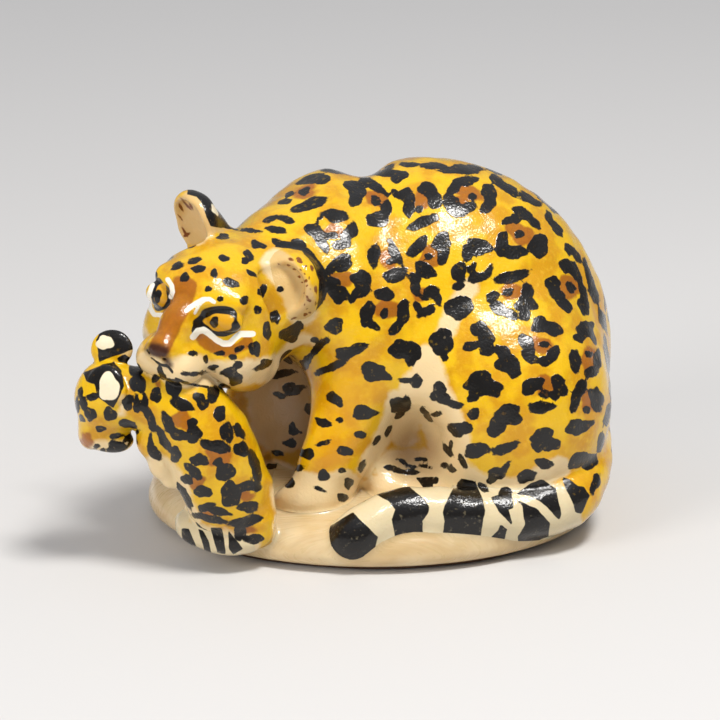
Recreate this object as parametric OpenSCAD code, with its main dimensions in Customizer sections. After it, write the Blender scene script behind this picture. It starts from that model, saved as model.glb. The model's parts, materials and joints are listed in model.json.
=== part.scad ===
// Painted vegetable-ivory carving of a spotted big cat that carries its cub.
// The cat crouches on an oval plinth with its rump at +X, its head turned to the
// front left, and the cub hanging from its mouth at the front left of the plinth.
// +Z is up, and the origin is the middle of the flat underside. Millimetres.

/* [Overall] */
// Nominal length from the cub's crown to the big cat's rump; everything scales with it
figure_length = 54.2; // [45:0.1:70]

/* [Plinth] */
// Length of the plinth at its widest, left to right
base_length = 47; // [44:0.5:48]
// Depth of the plinth at its widest, front to back
base_depth = 38; // [37:0.5:40]
// Height of the middle of the plinth's crowned top
base_height = 5.6; // [5:0.1:6]
// Thickness of the nut's dark skin, left on the underside
skin_thickness = 0.6; // [0.4:0.1:1]

/* [Big cat] */
// Height of the highest point of the big cat's back
body_height = 37; // [36:0.5:38]
// Length of the rounded trunk, left to right
body_length = 38.6; // [37:0.2:39]
// Thickness of the trunk, front to back
body_depth = 31; // [29:0.5:32]
// Radius of the skull
skull_radius = 7; // [6.7:0.1:7.3]
// Radius of an ear's round flap
ear_radius = 3.9; // [3.5:0.1:4.2]
// Radius of the tail where it leaves the rump
tail_root_radius = 3.2; // [3:0.1:3.4]
// Radius of the tail near its tip
tail_tip_radius = 2.1; // [1.9:0.1:2.3]

/* [Cub] */
// Size of the cub's head beside the big cat's head
cub_head_ratio = 0.44; // [0.42:0.01:0.46]
// Radius of the cub's trunk at its middle
cub_trunk_radius = 4; // [3.8:0.1:4.2]
// Radius of a cub ear's round flap
cub_ear_radius = 2.2; // [2:0.1:2.4]

/* [Joinery] */
// Radius of the round tenon under each of the big cat's ears
ear_tenon_radius = 0.8; // [0.6:0.1:0.9]
// Radius of the round tenon under each of the cub's ears
cub_tenon_radius = 0.5; // [0.4:0.05:0.6]
// Radius of the wooden dowel pins
dowel_radius = 0.9; // [0.7:0.1:1]

/* [Hidden] */

nominal_length = 54.2;
unit = figure_length / nominal_length;

// Smoothness of the large rounded masses, the limbs and the small parts
mass_fn = 20;
limb_fn = 14;
small_fn = 10;
true_fn = 48;

coat = "goldenrod";
ivory = "blanchedalmond";
skin_brown = "saddlebrown";
band_black = "dimgray";
dowel_tan = "burlywood";

trunk_middle = [5.4, 2, body_height / 2 - 2.5];
trunk_radii = [body_length / 2, body_depth / 2, body_height / 2 + 2.5];
shoulders = [[-4, 1.5, 25.3], [9.3, 9.3, 10.8]];

// Heads are drawn with +X towards the nose, +Y to the animal's left and +Z at the crown
head_place = [-14.5, -11, 26.4];
head_turn = [-8, 8, -129];
cub_head_place = [-26.6, -16.5, 17.9];
cub_head_turn = [-54, 57, 124];

// A limb is a list of stations, each the middle and the radius of a ball
neck = [[[-4, 0, 27.4], 8.2], [[-7.8, -4.5, 27], 6.9], [[-11.2, -8, 26.2], 6.6]];
left_foreleg_path = [
    [[-2.2, -4.8, 25.6], 7.2], [[-1.2, -7.2, 19.4], 5], [[-2.6, -8.2, 14.1], 4.2],
    [[-4.5, -9, 10.7], 4.1], [[-5.8, -9.5, 8.2], 3.8]
];
left_paw = [[-6.6, -9.9, 6.1], [4.3, 4.5, 2.8]];
right_foreleg_path = [
    [[-3, 5.5, 25], 7], [[-7, 2, 18], 4.6], [[-11, -1, 12.5], 3.9], [[-13.4, -3, 8.4], 3.6]
];
right_paw = [[-14.6, -4.4, 5.9], [4.4, 4.2, 2.8]];
left_thigh = [[15.4, -6.6, 13], [9.3, 7.6, 11.5]];
right_thigh = [[12.8, 9.4, 12], [10.4, 7.4, 11]];
left_hind_foot_path = [[[12, -10, 6.3], 2.8], [[6, -9.6, 6.3], 2.6], [[1.8, -8.6, 6], 2.3]];
right_hind_foot_path = [[[12, 12.6, 5.8], 2.7], [[6, 13, 5.6], 2.5], [[1.2, 12.2, 5.4], 2.3]];
tail_path = [
    [20.4, 4, 12], [21.3, -3, 9], [20.8, -7.5, 6.5], [19, -11, 4.9], [14.7, -13, 4.6],
    [9.7, -14.2, 4.9], [5.8, -15, 5.4], [2.5, -15.6, 5.5], [-0.4, -16.6, 4.6], [-2.4, -17.4, 3.4]
];

cub_trunk_path = [
    [[-18.9, -16.8, 17.4], 3.7], [[-16.6, -16.8, 13.8], cub_trunk_radius],
    [[-15.3, -16.4, 9.9], cub_trunk_radius], [[-14.7, -15.4, 6.3], cub_trunk_radius - 0.1],
    [[-14.4, -15, 5], 3.5]
];
cub_neck_path = [[[-19.4, -16.8, 18], 3.4], [[-24.4, -16.5, 18.2], 3.2]];
cub_scruff = [[-19.6, -16.8, 20.4], [1.9, 1.8, 1.8]];
cub_left_foreleg_path = [
    [[-21.2, -17.4, 16.8], 2.2], [[-21.6, -17.6, 14], 1.9], [[-20.8, -17.4, 11.6], 1.6],
    [[-20.1, -17.2, 10.2], 1.4]
];
cub_right_foreleg_path = [
    [[-20.8, -14.4, 16], 2.2], [[-20.4, -13.8, 12.6], 1.7], [[-19.4, -13.8, 10.4], 1.4]
];
cub_left_hind_leg_path = [
    [[-12.6, -16.6, 8.4], 2.9], [[-11.6, -16.8, 5.6], 2.2], [[-11.6, -16.6, 3.8], 1.8],
    [[-12.4, -16.8, 2.9], 1.5]
];
cub_right_hind_leg_path = [
    [[-16.6, -13.6, 8.6], 2.6], [[-18, -13.4, 6.2], 2], [[-18.8, -13.6, 4.8], 1.6]
];
cub_tail_path = [
    [[-12.2, -15.6, 2.5], 1.5], [[-15.2, -15.2, 2.2], 1.5], [[-18, -13.4, 2.4], 1.3]
];

// Ears: middle of the bowl, then the heading, tilt and spin of its opening
left_ear_set = [[-8, -12.2, 28.4], -123, -3, -71];
right_ear_set = [[-17.2, -8.3, 34], -141, 11, 16];
cub_left_ear_set = [[-26.2, -18.8, 20.2], 128, 15, -27];
cub_right_ear_set = [[-25.7, -15, 23.2], 135, 10, -5];

// Dowel pins: middle, turn and length
dowels = [
    [[-10.6, -7, 26.8], [0, 82, -143], 8],   // neck to head
    [[3, 2, 6.5], [0, 0, 0], 6],             // plinth to trunk, left
    [[13, 1.6, 6.5], [0, 0, 0], 6],          // plinth to trunk, right
    [[4.6, -5, 25], [0, 90, 0], 6],          // trunk to left shoulder
    [[3.6, 5.5, 24.6], [0, 90, 0], 6],       // trunk to right shoulder
    [[14, 1.5, 13], [90, 0, 0], 10]          // thigh to thigh, through the trunk
];

// ---- shapes that repeat ----

// An ellipsoid; the hull keeps it one closed mesh
module egg(place_and_radii, fn = mass_fn)
    hull() translate(place_and_radii[0]) scale(place_and_radii[1]) sphere(1, $fn = fn);

// A limb through its stations, each pair bridged by a hull
module limb(stations, fn = limb_fn)
    for (i = [0:len(stations) - 2])
        hull() {
            translate(stations[i][0]) sphere(stations[i][1], $fn = fn);
            translate(stations[i + 1][0]) sphere(stations[i + 1][1], $fn = fn);
        }

// An ear flap: a thick half bowl that opens towards +X, on a round tenon along -Z
module ear(radius, tenon_radius) {
    depth = 0.62 * radius;
    wall = 0.34 * radius;
    rotate([0, 90, 0]) rotate_extrude($fn = true_fn)
        polygon(concat(
            [for (a = [0:15:90]) [radius * sin(a), -depth * cos(a)]],
            [for (a = [90:-15:0]) [(radius - wall) * sin(a), -(depth - wall) * cos(a)]]
        ));
    translate([-0.3 * depth, 0, -1.75 * radius])
        cylinder(r = tenon_radius, h = radius, $fn = true_fn);
}

module set_ear(place_and_turns)
    translate(place_and_turns[0])
        rotate([0, place_and_turns[2], place_and_turns[1]])
            rotate([place_and_turns[3], 0, 0]) children();

module dowel(place_turn_length)
    translate(place_turn_length[0]) rotate(place_turn_length[1])
        cylinder(r = dowel_radius, h = place_turn_length[2], center = true, $fn = true_fn);

module all_dowels()
    for (d = dowels) dowel(d);

// A cat's head in its own frame, for a skull of the big cat's size
module cat_head(skull_fn, part_fn) {
    egg([[0, 0, 0.3], [skull_radius, skull_radius, 0.94 * skull_radius]], skull_fn);
    egg([[-4, 0, -2], [6, 6.4, 6.2]], part_fn);
    for (side = [-1, 1]) {
        egg([[2.2, 3.6 * side, -2.6], [4.2, 3.5, 3.9]], part_fn);
        egg([[8, 1.6 * side, -3], [2.2, 2, 1.9]], small_fn);
    }
    limb([[[4.2, 0, 2.6], 2.6], [[9.1, 0, -0.9], 1.6]], small_fn);
    egg([[7, 0, -2.6], [3.8, 3.3, 2.7]], small_fn);
}

// ---- the pieces before they are fitted to each other ----

module plinth_blank() {
    half = [base_length / 2, base_depth / 2];
    // Height above the skin, and the share of the full outline there
    outline = [[0, 0.93], [0.8, 0.98], [1.8, 1], [2.8, 0.98], [3.7, 0.9], [4.4, 0.75],
               [base_height - skin_thickness, 0.4]];
    hull() for (o = outline)
        translate([0, 0, skin_thickness + o[0]])
            linear_extrude(0.01) scale([half[0] * o[1], half[1] * o[1]]) circle(1, $fn = 48);
}

module trunk_blank() {
    difference() {
        union() {
            egg([trunk_middle, trunk_radii]);
            egg(shoulders);
            limb(neck, mass_fn);
        }
        // The hollow between foreleg, belly and thigh, and the one under the throat
        egg([[4.4, -14, 9.8], [4.4, 8, 6.8]], limb_fn);
        egg([[-12, -7.5, 12], [7.5, 8.5, 9]], limb_fn);
        // The groove between the shoulders and the back
        limb([[[0.8, -12, 32.4], 2.4], [[-1.4, 0, 39.2], 2.6], [[-1, 12, 33.4], 2.4]], small_fn);
    }
}

module head_blank()
    translate(head_place) rotate(head_turn) cat_head(18, 12);

module jaw_blank()
    translate(head_place) rotate(head_turn) {
        limb([[[0.2, 0, -5.4], 3.1], [[3.2, 0, -5.9], 2.6], [[6, 0, -5.4], 1.9]], small_fn);
        for (side = [-1, 1])
            egg([[3, 2.2 * side, -5.2], [3.4, 1.9, 1.9]], small_fn);
    }

module left_ear_blank() set_ear(left_ear_set) ear(ear_radius, ear_tenon_radius);

module right_ear_blank() set_ear(right_ear_set) ear(0.8 * ear_radius, ear_tenon_radius);

module left_foreleg_blank() {
    limb(left_foreleg_path);
    egg(left_paw, limb_fn);
}

module right_foreleg_blank() {
    limb(right_foreleg_path);
    egg(right_paw, limb_fn);
}

module left_thigh_blank() egg(left_thigh);

module right_thigh_blank() egg(right_thigh);

module left_hind_foot_blank() limb(left_hind_foot_path);

module right_hind_foot_blank() limb(right_hind_foot_path);

module tail_blank() {
    last = len(tail_path) - 1;
    limb([for (i = [0:last])
        [tail_path[i], tail_root_radius + (tail_tip_radius - tail_root_radius) * i / last]], small_fn);
}

module cub_trunk_blank() {
    limb(cub_trunk_path);
    limb(cub_neck_path, small_fn);
    egg(cub_scruff, small_fn);
}

module cub_head_blank()
    translate(cub_head_place) rotate(cub_head_turn) scale(cub_head_ratio) cat_head(12, 10);

module cub_left_ear_blank() set_ear(cub_left_ear_set) ear(cub_ear_radius, cub_tenon_radius);

module cub_right_ear_blank() set_ear(cub_right_ear_set) ear(cub_ear_radius, cub_tenon_radius);

module cub_left_foreleg_blank() limb(cub_left_foreleg_path, small_fn);

module cub_right_foreleg_blank() limb(cub_right_foreleg_path, small_fn);

module cub_left_hind_leg_blank() limb(cub_left_hind_leg_path, small_fn);

module cub_right_hind_leg_blank() limb(cub_right_hind_leg_path, small_fn);

module cub_tail_blank() limb(cub_tail_path, small_fn);

// ---- the fitted pieces ----

// The oval of dark nut skin that the figure stands on
module nut_skin()
    color(skin_brown)
        linear_extrude(skin_thickness)
            polygon([for (a = [0:7.5:352.5])
                0.91 * [base_length / 2 * cos(a), base_depth / 2 * sin(a)]]);

module base()
    color(ivory) difference() {
        plinth_blank();
        for (d = [dowels[1], dowels[2]]) dowel(d);
    }

module torso()
    color(coat) difference() {
        trunk_blank();
        plinth_blank();
        translate([0, 0, -20]) cube([80, 80, 2 * (20 + skin_thickness)], center = true);
        left_foreleg_blank();
        right_foreleg_blank();
        left_thigh_blank();
        right_thigh_blank();
        left_hind_foot_blank();
        right_hind_foot_blank();
        tail_blank();
        head_blank();
        jaw_blank();
        all_dowels();
    }

module left_haunch()
    color(coat) difference() {
        left_thigh_blank();
        plinth_blank();
        left_hind_foot_blank();
        left_foreleg_blank();
        right_thigh_blank();
        tail_blank();
        all_dowels();
    }

module right_haunch()
    color(coat) difference() {
        right_thigh_blank();
        plinth_blank();
        right_hind_foot_blank();
        right_foreleg_blank();
        tail_blank();
        all_dowels();
    }

module left_hind_foot()
    color(ivory) difference() {
        left_hind_foot_blank();
        plinth_blank();
        tail_blank();
    }

module right_hind_foot()
    color(ivory) difference() {
        right_hind_foot_blank();
        plinth_blank();
        tail_blank();
    }

module left_foreleg()
    color(coat) difference() {
        left_foreleg_blank();
        plinth_blank();
        left_hind_foot_blank();
        right_foreleg_blank();
        all_dowels();
    }

module right_foreleg()
    color(coat) difference() {
        right_foreleg_blank();
        plinth_blank();
        all_dowels();
    }

module tail()
    color(band_black) difference() {
        tail_blank();
        plinth_blank();
    }

module head()
    color(coat) difference() {
        head_blank();
        jaw_blank();
        left_ear_blank();
        right_ear_blank();
        cub_trunk_blank();
        left_foreleg_blank();
        all_dowels();
    }

module lower_jaw()
    color(ivory) difference() {
        jaw_blank();
        cub_trunk_blank();
        all_dowels();
    }

module left_ear() color(ivory) left_ear_blank();

module right_ear() color(ivory) right_ear_blank();

module cub_body()
    color(coat) difference() {
        cub_trunk_blank();
        plinth_blank();
        cub_head_blank();
        cub_left_foreleg_blank();
        cub_right_foreleg_blank();
        cub_left_hind_leg_blank();
        cub_right_hind_leg_blank();
        cub_tail_blank();
    }

module cub_head()
    color(coat) difference() {
        cub_head_blank();
        cub_left_ear_blank();
        cub_right_ear_blank();
    }

module cub_left_ear() color(band_black) cub_left_ear_blank();

module cub_right_ear() color(band_black) cub_right_ear_blank();

module cub_left_foreleg()
    color(coat) difference() {
        cub_left_foreleg_blank();
        cub_head_blank();
        plinth_blank();
        cub_right_foreleg_blank();
    }

module cub_right_foreleg()
    color(coat) difference() {
        cub_right_foreleg_blank();
        cub_head_blank();
        plinth_blank();
        cub_right_hind_leg_blank();
    }

module cub_left_hind_leg()
    color(coat) difference() {
        cub_left_hind_leg_blank();
        plinth_blank();
        cub_tail_blank();
        cub_right_hind_leg_blank();
    }

module cub_right_hind_leg()
    color(coat) difference() {
        cub_right_hind_leg_blank();
        plinth_blank();
        cub_tail_blank();
    }

module cub_tail()
    color(band_black) difference() {
        cub_tail_blank();
        plinth_blank();
    }

module dowel_pins() color(dowel_tan) all_dowels();

scale(unit) nut_skin();
scale(unit) base();
scale(unit) torso();
scale(unit) left_haunch();
scale(unit) right_haunch();
scale(unit) left_hind_foot();
scale(unit) right_hind_foot();
scale(unit) left_foreleg();
scale(unit) right_foreleg();
scale(unit) tail();
scale(unit) head();
scale(unit) lower_jaw();
scale(unit) left_ear();
scale(unit) right_ear();
scale(unit) cub_body();
scale(unit) cub_head();
scale(unit) cub_left_ear();
scale(unit) cub_right_ear();
scale(unit) cub_left_foreleg();
scale(unit) cub_right_foreleg();
scale(unit) cub_left_hind_leg();
scale(unit) cub_right_hind_leg();
scale(unit) cub_tail();
scale(unit) dowel_pins();
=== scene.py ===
"""Looks of a lacquered ivory-nut carving: a spotted big cat that carries its cub on an oval plinth.

Lengths are in the model's millimetres (MM metres each), in the row frame: +Z up, the
cat's rump at +X, its face towards -Y. The whole figure is one carved surface, described
as a distance field; each piece is the share of it nearest to that piece's own masses.
"""
import json
import math

import bpy
import numpy as np
from mathutils import Matrix, Vector
from mathutils.bvhtree import BVHTree


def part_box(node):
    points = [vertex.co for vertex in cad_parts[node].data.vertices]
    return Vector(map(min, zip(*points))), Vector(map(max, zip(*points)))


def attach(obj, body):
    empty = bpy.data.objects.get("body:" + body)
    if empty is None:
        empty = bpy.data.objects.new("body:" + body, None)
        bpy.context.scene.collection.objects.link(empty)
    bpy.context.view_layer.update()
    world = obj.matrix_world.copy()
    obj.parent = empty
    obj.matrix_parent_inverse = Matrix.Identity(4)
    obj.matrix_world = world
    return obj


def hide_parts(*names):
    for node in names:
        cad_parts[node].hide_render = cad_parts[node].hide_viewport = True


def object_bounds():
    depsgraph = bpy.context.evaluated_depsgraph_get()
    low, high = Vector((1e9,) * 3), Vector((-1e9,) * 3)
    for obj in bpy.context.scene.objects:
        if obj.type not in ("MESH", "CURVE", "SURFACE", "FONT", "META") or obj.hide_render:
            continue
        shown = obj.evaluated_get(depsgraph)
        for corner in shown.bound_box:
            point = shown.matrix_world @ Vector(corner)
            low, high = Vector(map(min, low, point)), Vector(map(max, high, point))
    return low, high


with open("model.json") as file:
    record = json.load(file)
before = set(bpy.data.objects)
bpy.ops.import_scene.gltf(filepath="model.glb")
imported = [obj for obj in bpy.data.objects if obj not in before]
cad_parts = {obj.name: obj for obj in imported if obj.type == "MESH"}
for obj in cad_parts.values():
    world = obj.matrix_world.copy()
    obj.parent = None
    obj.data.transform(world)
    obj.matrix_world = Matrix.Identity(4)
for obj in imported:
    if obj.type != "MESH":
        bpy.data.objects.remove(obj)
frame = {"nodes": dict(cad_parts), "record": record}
cad_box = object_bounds()
LENGTH = 54.2
MM = (cad_box[1].x - cad_box[0].x) / LENGTH
FINE = 1.0


# ---- distance fields ----
# A shape is (distance function, centre, radius of a ball around it). A cloud of points P has
# the low corner of its box as its first row and the high corner as its last.

REACH = 4.0


def turn(a, b, c):
    """Rotation about X, then Y, then Z, in degrees."""
    m = Matrix.Rotation(math.radians(c), 3, "Z") @ Matrix.Rotation(math.radians(b), 3, "Y")
    return np.array(m @ Matrix.Rotation(math.radians(a), 3, "X"))


def smin(a, b, k):
    """Smooth union; a plain number stands for a shape that is far away."""
    if isinstance(b, float):
        return a
    if isinstance(a, float):
        return b
    h = np.clip(0.5 + 0.5 * (b - a) / k, 0, 1)
    return b + (a - b) * h - k * h * (1 - h)


def smax(a, b, k):
    """Smooth cut of a by b, which leaves a alone where either is far away."""
    if isinstance(a, float) or isinstance(b, float):
        return a
    return -smin(-a, -b, k)


def egg(centre, radii, axes=None):
    """An ellipsoid; axes holds its own directions as columns."""
    c, r = np.array(centre, float), np.array(radii, float)

    def near(P):
        q = P - c
        if axes is not None:
            q = q @ axes
        k0 = np.linalg.norm(q / r, axis=1)
        k1 = np.linalg.norm(q / (r * r), axis=1) + 1e-9
        return np.where(k0 < 0.3, (k0 - 1) * r.min(), k0 * (k0 - 1) / k1)
    return near, c, r.max()


def rod(a, ra, b, rb):
    """A straight limb between two balls."""
    a, b = np.array(a, float), np.array(b, float)
    ab = b - a
    n2 = ab @ ab

    def near(P):
        t = np.clip((P - a) @ ab / n2, 0, 1)
        return np.linalg.norm(P - a - t[:, None] * ab, axis=1) - (ra + (rb - ra) * t)
    return near, (a + b) / 2, math.sqrt(n2) / 2 + max(ra, rb)


def limb(*stations):
    """Rods through (point, radius) stations."""
    return [rod(*p, *q) for p, q in zip(stations, stations[1:])]


def curve(stations, steps):
    """Stations along a smooth curve through the given ones."""
    s = np.array([[*p, r] for p, r in stations], float)
    s = np.vstack([2 * s[0] - s[1], s, 2 * s[-1] - s[-2]])
    out = []
    for i in range(1, len(s) - 2):
        for j in range(steps):
            t = j / steps
            w = [-t**3 + 2*t*t - t, 3*t**3 - 5*t*t + 2, -3*t**3 + 4*t*t + t, t**3 - t*t]
            out.append(sum(wi * s[i - 1 + k] for k, wi in enumerate(w)) / 2)
    out.append(s[-2])
    return [(tuple(p[:3]), p[3]) for p in out]


def measure(shape, P):
    """Distance to one shape, or plain REACH when the whole cloud is far away."""
    near, c, bound = shape
    gap = np.maximum(np.maximum(P[0] - c, c - P[-1]), 0)
    return near(P[1:-1]) if gap @ gap < (bound + REACH) ** 2 else REACH


def blend(shapes, P, k):
    """Distance to several shapes run together softly."""
    d = REACH
    for s in shapes:
        d = smin(d, measure(s, P), k)
    return d


def hull(shapes):
    """Low and high corner of a box around shapes."""
    return (np.min([c - r for _, c, r in shapes], axis=0),
            np.max([c + r for _, c, r in shapes], axis=0))


def part(name, P):
    """Distance to one part of the animals, or REACH when it is far from the whole cloud."""
    lo, hi = HULLS[name]
    if (P[0] > hi + REACH).any() or (P[-1] < lo - REACH).any():
        return REACH
    shapes, softness = PARTS[name]
    return blend(shapes, P, softness)


def in_batches(P, work, cell=6.0):
    """Runs work on the points of each cell, framed by the low and high corner of the cell."""
    key = np.floor(P / cell).astype(np.int64) @ np.array([1, 1000, 1000000])
    order = np.argsort(key, kind="stable")
    cuts = np.flatnonzero(np.diff(key[order])) + 1
    out = None
    for rows in np.split(order, cuts):
        q = P[rows]
        got = work(np.vstack([q.min(0), q, q.max(0)]))
        if out is None:
            out = [np.empty(len(P)) for _ in got]
        for o, g in zip(out, got):
            o[rows] = g
    return out


# ---- the animals' masses ----

HEAD = np.array([-15.2, -11.0, 25.8])
HEAD_AXES = turn(-10, 0, -121)


def on_head(f, l, u):
    """A point in front of, left of and above the middle of the big cat's head."""
    return HEAD + HEAD_AXES @ np.array([f, l, u], float)


def head_egg(f, l, u, radii):
    return egg(on_head(f, l, u), radii, HEAD_AXES)


def both(make):
    """The same shape on the head's right and left side."""
    return [make(side) for side in (-1, 1)]


def ear_axes(look, tip):
    """Columns: the way an ear opens, across it, and towards its tip."""
    n = np.array(look, float) / np.linalg.norm(look)
    t = np.array(tip, float)
    t -= n * (t @ n)
    t /= np.linalg.norm(t)
    return np.column_stack([n, np.cross(t, n), t])


# Each part's shapes, and how softly they run together
PARTS = {}
PARTS["torso"] = ([
    egg((5.4, 2.4, 16.9), (19.3, 13.6, 20.2)),
    egg((7, -3.5, 18.5), (9, 8.5, 7.5)),
    egg((-4, 1.2, 25.6), (8.8, 8.6, 10.4)),
    *limb(((-4, 0, 27.4), 8), ((-8, -4.5, 27), 6.9), ((-11.2, -8, 26.2), 6.4)),
], 2.5)
PARTS["left_haunch"] = ([egg((13.4, -5.4, 13.4), (10.9, 9.6, 12.2))], 2)
PARTS["right_haunch"] = ([egg((12.8, 7.6, 12.6), (10.8, 9.4, 11.6))], 2)
PARTS["left_hind_foot"] = (limb(((13, -10, 6.6), 3), ((6, -9.6, 6.3), 2.6),
                                ((1.8, -8.8, 5.9), 2.4)), 1.5)
PARTS["right_hind_foot"] = (limb(((12, 12.6, 5.8), 2.7), ((6, 13, 5.6), 2.5),
                                 ((1.2, 12.2, 5.4), 2.3)), 1.5)
PARTS["left_foreleg"] = ([
    *limb(*curve([((-3.4, -1.5, 29.5), 6), ((-2.4, -5, 25), 6.4), ((-1.2, -7.2, 19.4), 5.1),
                  ((-2.6, -8.2, 14.1), 4.2), ((-4.5, -9, 10.7), 4.1),
                  ((-5.8, -9.5, 8), 3.8)], 3)),
    egg((-6.6, -9.9, 6), (4.4, 4.4, 2.8)),
], 1.5)
PARTS["right_foreleg"] = ([
    *limb(*curve([((-3, 5.5, 25), 6.8), ((-7, 2, 18), 4.6), ((-11, -1, 12.5), 3.9),
                  ((-13.4, -3, 8.4), 3.6)], 3)),
    egg((-14.6, -4.4, 5.9), (4.4, 4.2, 2.8)),
], 1.5)
PARTS["tail"] = (limb(*curve([
    ((20.4, 4, 12), 3.2), ((21.2, -3, 9), 3.2), ((20.8, -7.5, 6.6), 3.15), ((19, -11, 5.1), 3),
    ((14.7, -13, 4.7), 2.7), ((9.7, -14.2, 4.9), 2.45), ((5.8, -15, 5.4), 2.3),
    ((2.5, -15.5, 5.5), 2.2), ((-0.4, -16.5, 4.6), 2.15), ((-2.2, -17.4, 3.5), 2.1)], 4)), 0.6)
PARTS["head"] = ([
    head_egg(0, 0, 0.4, (7, 7, 6.5)),
    head_egg(-4, 0, -1.5, (5.5, 6.2, 6)),
    head_egg(3.4, 0, 3.2, (3.6, 4.4, 2.6)),
    head_egg(2.3, 3.9, -2.6, (4.1, 3.4, 3.8)), head_egg(2.3, -3.5, -2.8, (4, 3, 3.6)),
    *both(lambda s: head_egg(0, 4 * s, -4.6, (4, 2.8, 3))),
    head_egg(6.8, 0, -2.8, (4, 3.2, 2.6)),
    *both(lambda s: head_egg(8.5, 1.6 * s, -3.4, (2.1, 1.9, 1.75))),
    *limb((on_head(4, 0, 2.4), 2.3), (on_head(7.2, 0, 0.7), 1.8), (on_head(9.8, 0, -1.2), 1.3)),
    head_egg(10.3, 0, -1.5, (1.0, 1.45, 0.95)),
    *both(lambda s: rod(on_head(5.6, 1.8 * s, 3.1), 0.8, on_head(4.4, 4.5 * s, 3.2), 0.8)),
], 1.1)
PARTS["lower_jaw"] = ([
    *limb((on_head(0, 0, -5.4), 3), (on_head(3.4, 0, -5.9), 2.6), (on_head(6.4, 0, -5.9), 1.9)),
    head_egg(7, 0, -6, (1.8, 1.9, 1.5)),
], 1)
EARS = {
    "left_ear": (np.array([-8.6, -11.6, 28.2]),
                 ear_axes((-0.62, -0.78, 0.05), (0.78, -0.3, 0.45)), (2.6, 3.4, 4.0)),
    "right_ear": (np.array([-17.7, -7.2, 33.4]),
                  ear_axes((-0.75, -0.6, -0.15), (-0.25, 0.1, 1)), (2.1, 2.9, 3.5)),
}
CUB_EARS = {
    "cub_left_ear": (np.array([-26.2, -18.9, 20.2]),
                     ear_axes((0.35, 0.85, -0.2), (-0.6, -0.2, 0.8)), (0.8, 2.0, 2.1)),
    "cub_right_ear": (np.array([-25.9, -15.4, 22.9]),
                      ear_axes((0.3, 0.9, -0.2), (-0.3, 0, 1)), (0.75, 2.2, 1.9)),
}
EAR_ROOT = rod((-16.4, -6.6, 33.2), 1.4, (-14.2, -6.6, 30.2), 1.3)

PARTS["cub_body"] = ([
    *limb(*curve([((-18.9, -16.8, 17.4), 3.6), ((-16.6, -16.8, 13.8), 4.0),
                  ((-15.3, -16.4, 10.2), 4.0), ((-14.5, -15.7, 7.5), 3.75),
                  ((-14.2, -15.5, 6.8), 3.3)], 3)),
    *limb(((-19.4, -16.8, 18), 3.3), ((-24.4, -16.5, 18.2), 3.1)),
    egg((-19.6, -16.8, 20), (1.9, 1.8, 1.8)), egg((-17.6, -15.8, 19.2), (1.8, 1.7, 1.6)),
], 1.2)
PARTS["cub_head"] = ([
    egg((-26.5, -16.5, 18.2), (3.15, 3.2, 3.7)),
    egg((-27.1, -16.3, 14.9), (2.3, 2.2, 2.1)),
    egg((-28.1, -15.6, 13.7), (1.3, 1.3, 1.2)),
    egg((-25.7, -16.9, 13.7), (1.8, 1.6, 1.1)),
], 1)
CUB_LIMBS = {
    "cub_left_foreleg": [((-21.2, -17.4, 16.8), 2.2), ((-21.6, -17.6, 14), 1.8),
                         ((-20.8, -17.4, 11.6), 1.5), ((-20.1, -17.2, 10.2), 1.35)],
    "cub_right_foreleg": [((-20.8, -14.4, 16), 2.2), ((-20.4, -13.8, 12.6), 1.7),
                          ((-19.4, -13.8, 10.4), 1.4)],
    "cub_left_hind_leg": [((-12.8, -16.2, 8.4), 2.8), ((-11.9, -16.8, 5.6), 2.1),
                          ((-11.8, -16.8, 4.2), 1.7), ((-12.5, -17, 3.5), 1.4)],
    "cub_right_hind_leg": [((-16.2, -13.6, 8.6), 2.5), ((-17, -13.6, 6.4), 1.9),
                           ((-17.5, -13.8, 5), 1.5)],
    "cub_tail": curve([((-12.8, -17.4, 3.4), 1.3), ((-14.6, -17.6, 3.5), 1.45),
                       ((-16.6, -16.8, 3.7), 1.45), ((-18.2, -15.4, 3.8), 1.3),
                       ((-18.8, -13.8, 4), 1.05)], 3),
}
for name, (c, axes, r) in {**EARS, **CUB_EARS}.items():
    PARTS[name] = ([egg(c, r, axes)], 1)
PARTS["right_ear"][0].append(EAR_ROOT)
for name, stations in CUB_LIMBS.items():
    PARTS[name] = (limb(*stations), 0.6)
HULLS = {name: hull(shapes) for name, (shapes, _) in PARTS.items()}

base_lo, base_hi = (np.array(v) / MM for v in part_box("base"))
BASE_HALF = (base_hi - base_lo)[:2] / 2
CROWN = base_hi[2]
SKIN_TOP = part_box("nut_skin")[1][2] / MM
RIM_DROP = 1.3


def plinth(P):
    """An oval with a domed top and rounded edges, cut off above the dark skin."""
    q, z = P[1:-1, :2], P[1:-1, 2]
    share = np.linalg.norm(q / BASE_HALF, axis=1)
    lean = np.linalg.norm(q / BASE_HALF ** 2, axis=1) + 1e-9
    side = np.where(share < 0.2, BASE_HALF.min() * (share - 1), share * (share - 1) / lean)
    top = (z - CROWN + RIM_DROP * np.clip(share, 0, 1.2) ** 2) * 0.97
    return smax(smax(top, side, 3.2), SKIN_TOP - z - 0.02, 1.6)


# How softly each part runs into what is already carved, in this order
JOIN = {"left_haunch": 3, "right_haunch": 3, "left_foreleg": 2, "right_foreleg": 2,
        "left_hind_foot": 1.6, "right_hind_foot": 1.6, "tail": 0.7}
# Hollows under the belly and the throat with their softness, and the crease behind the shoulder
HOLLOWS = [(egg((4.2, -13.4, 10.6), (3.1, 5.6, 4.4)), 2.8), (egg((-12, -7, 12), (6.5, 7, 8)), 2)]
CREASE = limb(((2, -12, 29), 1.4), ((0.2, -7, 35.6), 1.6), ((-1.4, 0, 38.9), 2.2),
              ((-1, 12, 34), 1.6))

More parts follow.
